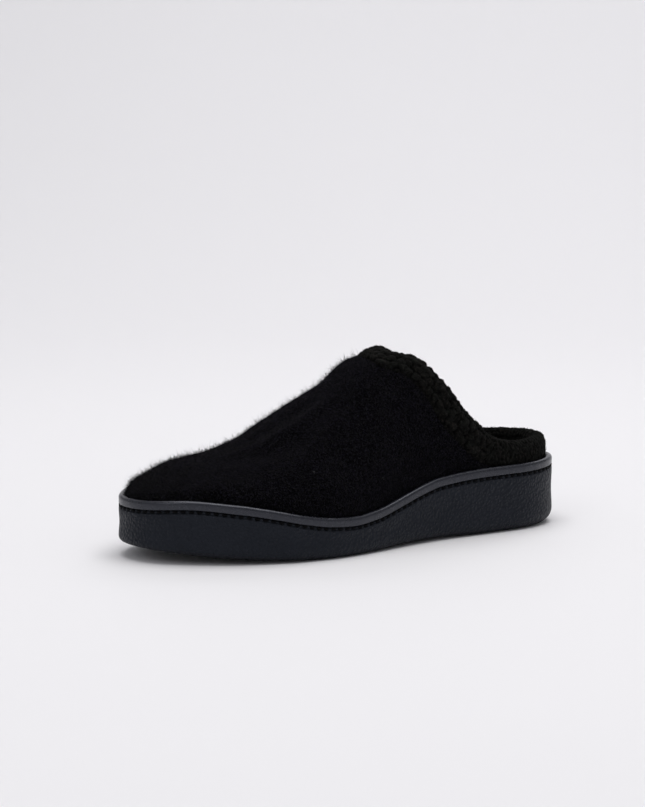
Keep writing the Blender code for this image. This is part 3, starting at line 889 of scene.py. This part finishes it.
# The collar's path on the arches, whose climb runs from 0, seated on the ledge, to 1, over the ridge
collar = {
    "width": 0.0170,
    "thickness": 0.0080,
    "squareness": 2.6,
    "proud": 0.0016,
    "columns": 800,
    "sides": 96,
    "pebbleAlong": 0.0048,
    "pebbleAcross": 0.0040,
    "pebbleHeight": 0.0024,
    "pebbleShift": 0.16,  # how far a loop strays from its place, in loops
    "pebbleTop": (0.72, 1.0),  # how tall the lowest and the highest loop are
    "pebbleRadii": (0.66, 0.70),  # along and across, in loops
    "pebbleBow": 1.1,
    "knotsPerPebble": 2,  # small knots on the loops
    "knotHeight": 0.0012,
    "heelHeight": 0.0017,  # of the small knots round the heel
    "sway": 0.45,  # how far the rows wander, in loops
    "swaySize": 0.009,
    "roughSize": 0.0011,
    "heave": 0.0003,
    "heaveSize": 0.014,
    "heelUntil": (0.14, 0.26),  # shares of the length between which they give way to loops
    "seamFade": (-1.0, -0.55),  # the loops rise between these shares of the half width beside the felt
    "seamShare": 0.25,  # of their height that is left at the felt
    "pathPoints": 4001,
}

# share of the length, climb, how far the band stands out and how wide it is, both over their sizes
collarRows = (
    (0.000, 0.000, 0.00, 1.00),
    (0.050, 0.000, 0.00, 1.00),
    (0.110, 0.000, 0.00, 1.00),
    (0.166, 0.006, 0.00, 1.01),
    (0.215, 0.028, 0.10, 1.03),
    (0.253, 0.078, 0.40, 1.04),
    (0.287, 0.154, 0.75, 1.03),
    (0.311, 0.234, 0.90, 0.98),
    (0.323, 0.300, 1.00, 0.95),
    (0.342, 0.400, 1.00, 0.92),
    (0.377, 0.596, 1.00, 0.89),
    (0.414, 0.742, 1.00, 0.87),
    (0.423, 0.848, 0.50, 0.82),
    (0.429, 1.000, 0.30, 0.80),
)


def collarCurves():
    # Turn, arch, stand and width from the heel's back, 0, to the ridge, 1, with a mirrored row at each end
    share, climb, proud, width = np.array(collarRows).T
    seat = archAt(share, collar["width"] / 2)  # there its lower edge rests on the ledge
    arch = seat + climb * (1 - seat)
    rows = np.stack([turnOf(share), arch, proud * collar["proud"], width * collar["width"]])
    behind = rows[:, 1] * (-1, 1, 1, 1)
    beyond = rows[:, -2] * (1, -1, 1, 1) + (0, 2, 0, 0)
    rows = np.column_stack([behind, rows, beyond])
    steps = (np.arange(rows.shape[1]) - 1) / (rows.shape[1] - 3)
    return [smoothCurve(steps, values) for values in rows]


collarTurn, collarArch, collarStand, collarSpan = collarCurves()


def collarFrame(side, along):
    # Middle of the band, its outward normal, its way across to the opening, and its lower seam's place
    nudge = last["nudge"]
    spot, normal, byTurn, byArch = upperFrame(side, collarTurn(along), collarArch(along))
    turnRate = collarTurn(along + nudge) - collarTurn(along - nudge)
    archRate = collarArch(along + nudge) - collarArch(along - nudge)
    tangent = unit(byTurn * turnRate[:, None] + byArch * archRate[:, None])
    across = unit(np.cross(tangent, normal)) * side[:, None]
    middle = spot - normal * (collar["thickness"] / 2 - collarStand(along))[:, None]
    seam = spot - across * (collarSpan(along) / 2 + last["gap"])[:, None]
    return middle, normal, across, seam


def pebbles(u, v, rows, columns, seed):
    # Loops of yarn as domes sqrt(1 - d^2) about jittered centres, every second row half a step on,
    # each bent like a bow. A point takes the highest of the nine domes round it.
    random = np.random.default_rng(seed)
    shiftU, shiftV = random.uniform(-collar["pebbleShift"], collar["pebbleShift"], (2, rows, columns))
    tall = random.uniform(*collar["pebbleTop"], (rows, columns))
    radiusU, radiusV = collar["pebbleRadii"]
    top = np.zeros_like(u)
    for rowStep in (-1, 0, 1):
        row = np.floor(v).astype(int) + rowStep
        half = 0.5 * (row % 2)
        column = np.floor(u - half).astype(int)
        for columnStep in (-1, 0, 1):
            cell = row % rows, (column + columnStep) % columns
            acrossWay = v - (row + 0.5 + shiftV[cell])
            alongWay = u - (column + columnStep + 0.5 + half + shiftU[cell])
            bow = (row % 2 - 0.5) * collar["pebbleBow"] * (alongWay**2 - 0.1)
            distance = (alongWay / radiusU) ** 2 + ((acrossWay + bow) / radiusV) ** 2
            top = np.maximum(top, tall[cell] * np.sqrt(np.clip(1 - distance, 0, None)))
    return top


def makeCollar():
    # A superellipse |thick|^n + |wide|^n = 1 carried along the topline, with knitted relief on it
    count, sides, power = collar["columns"], collar["sides"], 2 / collar["squareness"]
    fine = np.linspace(0, 1, collar["pathPoints"])
    middle = collarFrame(np.ones_like(fine), fine)[0]
    way = np.concatenate([[0], np.cumsum(np.linalg.norm(np.diff(middle, axis=0), axis=1))])
    half = np.interp(np.linspace(0, way[-1], count // 2 + 1), way, fine)
    along = np.concatenate([half, half[-2:0:-1]])
    side = np.concatenate([np.ones(count // 2 + 1), -np.ones(count // 2 - 1)])
    middle, normal, across, _ = collarFrame(side, along)
    angle = 2 * np.pi * np.arange(sides) / sides
    thick = np.sign(np.sin(angle)) * np.abs(np.sin(angle)) ** power * collar["thickness"] / 2
    wide = np.sign(np.cos(angle)) * np.abs(np.cos(angle)) ** power / 2
    base = middle[:, None] + normal[:, None] * thick[None, :, None]
    base = base + across[:, None] * (wide[None, :] * collarSpan(along)[:, None])[..., None]

    stepAlong = np.linalg.norm(base - np.roll(base, -1, axis=0), axis=-1).mean(axis=1)
    sideways = np.concatenate([[0], np.cumsum(stepAlong)])
    stepRound = np.linalg.norm(base - np.roll(base, -1, axis=1), axis=-1).mean(axis=0)
    roundWay = np.concatenate([[0], np.cumsum(stepRound)])
    columns = int(round(sideways[-1] / collar["pebbleAlong"]))
    rows = 2 * int(round(roundWay[-1] / collar["pebbleAcross"] / 2))
    u = np.broadcast_to(sideways[:-1, None] / sideways[-1] * columns, base.shape[:2])
    v = np.broadcast_to(roundWay[None, :-1] / roundWay[-1] * rows, base.shape[:2])

    spots = base.reshape(-1, 3)
    sway = collar["sway"] * softNoise(spots, collar["swaySize"], 21).reshape(u.shape)
    small = collar["knotsPerPebble"]
    loops = pebbles(u + sway, v + 0.8 * sway, rows, columns, 22)
    knots = pebbles(small * (u + sway), small * (v - sway), small * rows, small * columns, 23)
    rough = 0.5 + 0.5 * softNoise(spots, collar["roughSize"], 24).reshape(u.shape)
    share = shareOf(np.abs(collarTurn(along)))[:, None]
    knitted = smoothStep(*collar["heelUntil"], share)
    beside = smoothStep(*collar["seamFade"], np.cos(angle))[None, :]
    tall = collar["pebbleHeight"] * knitted * (collar["seamShare"] + (1 - collar["seamShare"]) * beside)
    low = collar["knotHeight"] * knitted + collar["heelHeight"] * (1 - knitted)
    height = (loops - 0.5) * tall + (0.7 * knots + 0.3 * rough - 0.5) * low
    # relief goes to the yarn's colour: painted shade where it is low, painted light on the high loops
    relief = (0.65 * loops + 0.35 * knots) * knitted + (0.6 * knots + 0.4 * rough) * (1 - knitted)
    height = height + collar["heave"] * softNoise(spots, collar["heaveSize"], 25).reshape(u.shape)

    number = np.arange(count * sides).reshape(count, sides)
    quads = outwardFaces(spots, [gridQuads(number, wrapRows=True, wrapColumns=True)])
    points = spots + pointNormals(spots, quads) * height.reshape(-1, 1)
    uv = np.stack([u / columns * sideways[-1], v / rows * roundWay[-1]], axis=-1).reshape(-1, 2)
    return makePiece("collarKnit", points, quads, uv, np.clip(relief, 0, 1).reshape(-1))


collarPiece = makeCollar()
finishPiece(collarPiece, knitYarn, ["collar"])

# The vamp's felt, in metres
vamp = {
    "wingStart": 0.26,  # share of the collar's half where the felt begins beside it
    "tuck": 0.0015,  # how far the felt runs on under the collar
    "columns": (110, 150),  # behind the throat, and before it
    "rows": 80,
    "crowding": 0.9,  # power of the rows' spacing, which is wider at the sole
    "tuckFade": 0.15,
    "reliefFrom": (0.0010, 0.0055),  # way up the felt between which its relief begins behind the welt
    "lumps": ((0.021, 0.0006), (0.009, 0.00032), (0.0042, 0.00014)),  # size and height
    "waleHeight": 0.00012,
    "walePitch": 0.0017,
    "waleSway": (2.2, 0.007),  # in radians, and its size
    "walePatch": 0.011,
    "foldSteps": 41,
    "foldFade": 0.3,  # share of a fold's path over which each end fades
}

# Folds are soft ridges and troughs, each given by depth, positive outwards, width and side, and a path of
# (share of the length, arch from 0 at the sole to 1 at the ridge)
folds = (
    (0.0022, 0.0050, 1, (
        (0.875, 0.97), (0.78, 0.91), (0.715, 0.82), (0.64, 0.74), (0.56, 0.77), (0.50, 0.80),
    )),
    (-0.0018, 0.0050, 1, ((0.80, 1.0), (0.72, 0.99), (0.675, 0.93), (0.605, 0.88), (0.55, 0.90))),
    (-0.0012, 0.0060, 1, ((0.76, 0.72), (0.70, 0.66), (0.62, 0.58))),
    (0.0010, 0.0060, 1, ((0.57, 0.60), (0.63, 0.50), (0.70, 0.42))),
    (0.0012, 0.0055, -1, ((0.52, 0.88), (0.62, 0.80), (0.72, 0.76), (0.82, 0.74))),
    (-0.0011, 0.0050, -1, ((0.58, 0.68), (0.66, 0.62), (0.74, 0.56))),
)


def seamSpot(side, along):
    # Turn and arch where the felt meets the collar's lower edge, by six Newton steps towards its place
    turn, arch = collarTurn(along), collarArch(along)
    target = collarFrame(side, along)[3]
    for _ in range(6):
        here, _, byTurn, byArch = upperFrame(side, turn, arch)
        miss = target - here
        a, b, c = (byTurn * byTurn).sum(1), (byTurn * byArch).sum(1), (byArch * byArch).sum(1)
        p, q = (byTurn * miss).sum(1), (byArch * miss).sum(1)
        determinant = a * c - b * b
        turn = turn + (c * p - b * q) / determinant
        arch = arch + (a * q - b * p) / determinant
    return turn, arch


def vampColumns(side):
    # Turn and top arch of each column: along the seam from the wing's end to the ridge, and on to the toe
    behind, before = vamp["columns"]
    along = np.linspace(vamp["wingStart"], 1, behind + 1)
    turn, arch = seamSpot(np.full_like(along, side), along)
    throat = np.mean([seamSpot(np.array([s]), np.array([1.0]))[0][0] for s in (1.0, -1.0)])
    turn[-1], arch[-1] = throat, 1.0
    rest = throat + (1 - throat) * np.arange(1, before + 1) / before
    return np.concatenate([turn, rest]), np.concatenate([arch, np.ones(before)])


def foldHeight(spots):
    # Sum of bells depth exp(-(distance / width)^2) about each fold's path, fading at both of its ends
    total = np.zeros(len(spots))
    for depth, width, side, path in folds:
        steps = np.linspace(0, len(path) - 1, vamp["foldSteps"])
        share, arch = (np.interp(steps, np.arange(len(path)), column) for column in np.array(path).T)
        line = upperPoint(np.full(len(steps), float(side)), turnOf(share), arch)
        apart = np.linalg.norm(spots[:, None] - line[None], axis=2)
        nearest = apart.argmin(axis=1) / (len(line) - 1)
        fade = smoothStep(0, vamp["foldFade"], nearest) * smoothStep(0, vamp["foldFade"], 1 - nearest)
        total += depth * fade * np.exp(-((apart.min(axis=1) / width) ** 2))
    return total


def makeVamp():
    # Both sides' grids, outer and inner, joined at the ridge, the tip and all their edges. The inner
    # surface is the outer one moved in by the wall.
    points, quads, uvs, inner, edgeFade, start = [], [], [], [], [], 0
    for side in (1.0, -1.0):
        turn, top = vampColumns(side)
        fraction = np.linspace(0, 1, vamp["rows"] + 1) ** vamp["crowding"]
        arch = top[:, None] * fraction[None, :]
        turns = np.broadcast_to(turn[:, None], arch.shape)
        sides = np.full_like(arch, side)
        outer, normal, _, _ = upperFrame(sides, turns, arch)
        seamCount = vamp["columns"][0] + 1
        upward = unit(outer[:seamCount, -1] - outer[:seamCount, -2])
        toRidge = 1 - np.arange(seamCount) / (seamCount - 1)
        outer[:seamCount, -1] += upward * vamp["tuck"] * smoothStep(0, vamp["tuckFade"], toRidge)[:, None]
        normal[:, 0, 2] = 0
        normal[:, 0] = unit(normal[:, 0])
        normal[-1, -1] = normal[-1, -2]  # both directions are one there, so it takes its neighbour's
        inside = outer - normal * upperWall
        stepsUp = np.linalg.norm(np.diff(outer, axis=1, prepend=outer[:, :1]), axis=-1)
        up = np.cumsum(stepsUp, axis=1)
        uv = np.stack([last["length"] * shareOf(turns) * side, up], axis=-1)
        number = start + np.arange(arch.size).reshape(arch.shape)
        numberIn = number + arch.size
        start += 2 * arch.size
        outerQuads, innerQuads = gridQuads(number), gridQuads(numberIn)[:, ::-1]
        rims = [gridQuads(np.stack([numberIn[:, 0], number[:, 0]]))]
        rims.append(gridQuads(np.stack([number[:seamCount, -1], numberIn[:seamCount, -1]])))
        rims.append(gridQuads(np.stack([number[0], numberIn[0]])))
        sideQuads = np.concatenate([outerQuads, innerQuads, *rims])
        quads.append(sideQuads if side > 0 else sideQuads[:, ::-1])
        points += [outer.reshape(-1, 3), inside.reshape(-1, 3)]
        uvs += [uv.reshape(-1, 2), uv.reshape(-1, 2)]
        inner += [np.zeros(arch.size), np.ones(arch.size)]
        edgeFade += [smoothStep(*vamp["reliefFrom"], up).ravel(), np.zeros(arch.size)]
    points, uvs = np.concatenate(points), np.concatenate(uvs)
    first, faceSets = mergePoints(points, np.concatenate(quads))
    points, uvs = points[first], uvs[first]
    inner, edgeFade = np.concatenate(inner)[first], np.concatenate(edgeFade)[first]
    faceSets = outwardFaces(points, faceSets)
    height = sum(tall * softNoise(points, size, 31 + k) for k, (size, tall) in enumerate(vamp["lumps"]))
    height += foldHeight(points)
    sway, swaySize = vamp["waleSway"]
    wale = np.cos(2 * np.pi * uvs[:, 0] / vamp["walePitch"] + sway * softNoise(points, swaySize, 35))
    height += vamp["waleHeight"] * wale * (0.5 + 0.5 * softNoise(points, vamp["walePatch"], 36))
    points = points + pointNormals(points, faceSets) * (height * edgeFade * (1 - inner))[:, None]
    return makePiece("vampFelt", points, faceSets, uvs)


vampPiece = makeVamp()
finishPiece(vampPiece, woolFelt, ["upper"])

# The footbed in the sole's cup, in metres and in shares of the length
insole = {
    "edge": 0.0015,
    "edgeSteps": 4,
    "dish": 0.0018,
    "dishShare": 0.35,
    "archSupport": 0.0030,
    "archShare": 0.42,
    "archSpread": 0.10,
    "stations": 150,
    "strips": 36,
    "lump": 0.00025,
    "lumpSize": 0.012,
    "knotScale": 1000,  # its felt is finer than the vamp's
}


def makeInsole():
    # Two caps and an edge: the upper cap is dished as exp(-(share / reach)^2) and raised under the arch
    side, turn = loopOf(insole["stations"])
    share = shareOf(turn)
    under = cupFloor(share) + last["gap"]
    top = under + sole["insoleThickness"]
    inset = cupInset + 2 * last["gap"]
    insets, heights = [inset], [under]
    for angle in np.linspace(0, np.pi / 2, insole["edgeSteps"] + 1):
        insets.append(inset + insole["edge"] * (1 - np.cos(angle)))
        heights.append(top - insole["edge"] * (1 - np.sin(angle)))
    rings = ringPoints(side, turn, insets, np.array(heights))
    lower, upper = capGrid(rings[0], insole["strips"]), capGrid(rings[-1], insole["strips"])
    place = np.linspace(1, -1, insole["strips"] + 1)[None, :]
    rowShare = shareOf(np.arange(insole["stations"] + 1) / insole["stations"])[:, None]
    dish = insole["dish"] * np.exp(-((rowShare / insole["dishShare"]) ** 2)) * (1 - place**2)
    waist = np.exp(-(((rowShare - insole["archShare"]) / insole["archSpread"]) ** 2))
    upper[..., 2] += insole["archSupport"] * waist * np.sin(np.pi * np.clip(-place, 0, None)) ** 2 - dish
    lumps = softNoise(upper.reshape(-1, 3), insole["lumpSize"], 41).reshape(upper.shape[:2]) - 0.5
    upper[..., 2] += insole["lump"] * lumps * (1 - place**2)
    points, quads = joinGrids([(rings, True), (lower[:, ::-1], False), (upper, False)])
    first, faceSets = mergePoints(points, np.concatenate(quads))
    points = points[first]
    return makePiece("footbed", points, faceSets, points[:, :2])


footbed = makeInsole()
insoleFelt = woolMaterial("insoleFelt", {**woolLook, "knotScale": insole["knotScale"]})
finishPiece(footbed, insoleFelt, ["insole"])

# Loose hairs. Lengths and radii are in metres, lean is in radians from the surface's normal, and bend is
# how far a hair's tip swerves, over its length.
fuzz = {
    "vampNap": {
        "count": 44000,
        "length": (0.0010, 0.0025),
        "radius": 0.000060,
        "lean": (0.3, 1.35),
        "bend": 0,
    },
    "vampWisps": {
        "count": 17000,
        "length": (0.0024, 0.0060),
        "radius": 0.000085,
        "lean": (0.4, 1.4),
        "bend": 0.34,
    },
    "collarNap": {
        "count": 30000,
        "length": (0.0006, 0.0015),
        "radius": 0.000045,
        "lean": (0.2, 1.3),
        "bend": 0,
    },
}
toeFuzz = {"from": 0.85, "denser": 2}  # share of the length, and how much is added at the tip


def surfaceSpots(piece, count, keep, seed):
    # Random places on the piece's triangles, as likely as their area times keep(centre), and their normals
    mesh = piece.data
    mesh.calc_loop_triangles()
    points = np.zeros(len(mesh.vertices) * 3)
    mesh.vertices.foreach_get("co", points)
    points = points.reshape(-1, 3) - (last["shift"], 0, 0)
    triangles = np.zeros(len(mesh.loop_triangles) * 3, np.int32)
    mesh.loop_triangles.foreach_get("vertices", triangles)
    corners = points[triangles.reshape(-1, 3)]
    facing = np.cross(corners[:, 1] - corners[:, 0], corners[:, 2] - corners[:, 0])
    area = np.linalg.norm(facing, axis=1)
    chance = area * keep(corners.mean(axis=1), facing / area[:, None])
    random = np.random.default_rng(seed)
    chosen = random.choice(len(area), count, p=chance / chance.sum())
    a, b = random.uniform(0, 1, (2, count))
    a, b = np.where(a + b > 1, 1 - a, a), np.where(a + b > 1, 1 - b, b)
    spots = corners[chosen, 0] + (corners[chosen, 1] - corners[chosen, 0]) * a[:, None]
    spots += (corners[chosen, 2] - corners[chosen, 0]) * b[:, None]
    return spots, facing[chosen] / area[chosen, None]


def outerOnly(centre, facing):
    # 0 for the inner wall and what the welt hides, 1 for other faces, and more at the toe
    share = np.clip(0.5 - centre[:, 1] / last["length"], 0, 1)
    middle = np.stack([np.zeros(len(centre)), centre[:, 1], rimHeight(share)], axis=1)
    away = (facing * unit(centre - middle)).sum(axis=1)
    clear = centre[:, 2] > rimHeight(share) + welt["height"] * 0.8
    more = 1 + toeFuzz["denser"] * smoothStep(toeFuzz["from"], 1.0, share)
    return (away > 0.15) * clear * more + 1e-9  # the last term leaves no chance at 0


def everywhere(centre, facing):
    # 1 for every face
    return np.ones(len(centre))


def fibres(name, spots, normals, look, random):
    # Thin spikes with a three-sided foot, set at a random lean from the normal. Without a bend the spike
    # is straight, otherwise a second ring half way turns it.
    count, radius, bend = len(spots), look["radius"], look["bend"]
    sideways = unit(np.cross(normals, random.normal(size=(count, 3))))
    turned = np.cross(normals, sideways)
    tilt = random.uniform(*look["lean"], count)[:, None]
    direction = normals * np.cos(tilt) + sideways * np.sin(tilt)
    long = random.uniform(*look["length"], count)[:, None]
    roots = spots - normals * radius * 2
    angle = 2 * np.pi * np.arange(3) / 3
    foot = sideways[:, None] * np.cos(angle)[:, None] + turned[:, None] * np.sin(angle)[:, None]
    rings = [roots[:, None] + foot * radius]
    tip = roots + direction * long
    if bend:
        middle = roots + direction * long * 0.5
        rings.append(middle[:, None] + foot * radius * 0.75)
        swerve = unit(random.normal(size=(count, 3))) * bend * long
        tip = tip + swerve - normals * 0.15 * long
    points = np.concatenate([*rings, tip[:, None]], axis=1)
    size = points.shape[1]
    number = np.arange(count * size).reshape(count, size)
    faces = [number[:, [0, 2, 1]]]
    for k in range(3):
        j = (k + 1) % 3
        if bend:
            faces.append(number[:, [k, j, 3 + j]])
            faces.append(number[:, [k, 3 + j, 3 + k]])
        top = size - 4
        faces.append(number[:, [top + k, top + j, size - 1]])
    return makePiece(name, points.reshape(-1, 3), [np.concatenate(faces)])


def addFuzz(name, piece, keep, material, seed):
    # Fibres of one kind on a piece
    spots, normals = surfaceSpots(piece, fuzz[name]["count"], keep, seed)
    hairs = fibres(name, spots, normals, fuzz[name], np.random.default_rng(seed + 1))
    finishPiece(hairs, material)


addFuzz("vampNap", vampPiece, outerOnly, woolFibre, 51)
addFuzz("vampWisps", vampPiece, outerOnly, woolFibre, 53)
addFuzz("collarNap", collarPiece, everywhere, yarnFibre, 55)

# Pale specks on the felt, with (side, share of the length, arch) of each
lint = {
    "spots": ((1, 0.580, 0.94), (1, 0.660, 0.32), (1, 0.495, 0.13), (1, 0.760, 0.87), (-1, 0.60, 0.50)),
    "curls": 5,
    "spread": 0.0005,
    "lift": 0.0012,
    "length": (0.0006, 0.0013),
    "radius": 0.00007,
    "lean": (0.9, 1.5),
    "bend": 0.4,
}


def makeLint():
    # Each speck is a few short pale fibres about its spot
    random = np.random.default_rng(61)
    side, share, arch = np.repeat(np.array(lint["spots"], float), lint["curls"], axis=0).T
    spots, normals, _, _ = upperFrame(side, turnOf(share), arch)
    spots = spots + normals * lint["lift"] + random.normal(size=spots.shape) * lint["spread"]
    return fibres("paleLint", spots, normals, lint, random)


finishPiece(makeLint(), fibreMaterial("paleFibre"))
print("fibres made")

# The camera stands where the photograph was taken, and looks at the middle of its picture.
cameraView = {
    "azimuth": 62.09,
    "elevation": 7.92,
    "distance": 1.39907,
    "target": (last["shift"], -0.01249, 0.07594),
    "focalPixels": 2517.14,
    "pictureHeight": 807,
    "sensor": 36.0,
}


def makeCamera(setup):
    # Back along (sin a cos e, -cos a cos e, sin e) from the target, for azimuth a and elevation e
    azimuth, elevation = np.radians(setup["azimuth"]), np.radians(setup["elevation"])
    back = Vector((
        np.sin(azimuth) * np.cos(elevation),
        -np.cos(azimuth) * np.cos(elevation),
        np.sin(elevation),
    ))
    data = bpy.data.cameras.new("camera")
    data.sensor_width = setup["sensor"]
    data.lens = setup["focalPixels"] * setup["sensor"] / setup["pictureHeight"]
    camera = bpy.data.objects.new("camera", data)
    camera.location = Vector(setup["target"]) + back * setup["distance"]
    camera.rotation_mode = "QUATERNION"
    camera.rotation_quaternion = back.to_track_quat("Z", "Y")
    bpy.context.scene.collection.objects.link(camera)
    bpy.context.scene.camera = camera
    return back


back = makeCamera(cameraView)

# The backdrop and the world. Lengths are in metres.
studio = {
    "floorColor": (0.80, 0.795, 0.81),
    "worldColor": (0.93, 0.93, 0.96),
    "worldStrength": 0.42,
    "flat": 0.9,  # how far the flat floor reaches behind the slipper
    "bend": 1.2,
    "wall": 2.5,
    "halfWidth": 4.0,
    "front": 2.6,
}


def makeBackdrop():
    # A floor that turns up behind the slipper in a quarter circle, as seen from the camera
    flat, bend, wall = studio["flat"], studio["bend"], studio["wall"]
    angle = np.linspace(0, np.pi / 2, 40)
    depth = np.concatenate([[-studio["front"], flat], flat + bend * np.sin(angle[1:]), [flat + bend]])
    height = np.concatenate([[0, 0], bend * (1 - np.cos(angle[1:])), [bend + wall]])
    away = -np.array((back.x, back.y)) / np.hypot(back.x, back.y)
    right = np.array((-away[1], away[0]))
    across = np.array((-studio["halfWidth"], studio["halfWidth"]))
    flatPart = depth[:, None, None] * away + across[None, :, None] * right
    upPart = np.broadcast_to(height[:, None, None], (len(depth), 2, 1))
    grid = np.concatenate([flatPart, upPart], axis=-1)
    number = np.arange(2 * len(depth)).reshape(len(depth), 2)
    mesh = bpy.data.meshes.new("studioFloor")
    mesh.from_pydata(grid.reshape(-1, 3).tolist(), [], gridQuads(number).tolist())
    mesh.shade_smooth()
    floor = bpy.data.objects.new("studioFloor", mesh)
    bpy.context.scene.collection.objects.link(floor)
    material, tree, shader = newMaterial("studioPaper")
    body = addNode(tree, "ShaderNodeTexCoord").outputs["Object"]
    paper = noiseOn(tree, body, 2.0, 3.0)
    pale = tuple(0.985 * c for c in studio["floorColor"])
    setInputs(tree, shader, {
        "Base Color": mixColors(tree, paper, pale, studio["floorColor"]),
        "Roughness": 0.7,
        "Specular IOR Level": 0.2,
    })
    mesh.materials.append(material)


makeBackdrop()

lamps = (
    # name, place, size, power, colour
    ("topLamp", (0.05, 0.15, 2.1), 1.9, 34.0, (1.0, 0.99, 0.985)),
    ("rearLamp", (-1.6, 1.5, 1.5), 1.4, 16.0, (0.98, 0.97, 1.0)),
    ("sideLamp", (0.9, -1.9, 1.6), 1.2, 6.0, (0.98, 0.98, 1.0)),
)


def makeLamps():
    # Square area lamps that look at the slipper, and an even pale world
    aim = Vector((0, 0, 0.04))
    for name, place, size, power, color in lamps:
        data = bpy.data.lights.new(name, "AREA")
        data.size = size
        data.energy = power
        data.color = color
        lamp = bpy.data.objects.new(name, data)
        lamp.location = place
        lamp.rotation_mode = "QUATERNION"
        lamp.rotation_quaternion = (Vector(place) - aim).to_track_quat("Z", "Y")
        bpy.context.scene.collection.objects.link(lamp)
    world = bpy.data.worlds.new("studioWorld")
    world.use_nodes = True
    background = world.node_tree.nodes["Background"]
    background.inputs["Color"].default_value = (*studio["worldColor"], 1)
    background.inputs["Strength"].default_value = studio["worldStrength"]
    bpy.context.scene.world = world


makeLamps()
bpy.context.scene.view_settings.view_transform = "Standard"
print("camera, backdrop and lamps made")
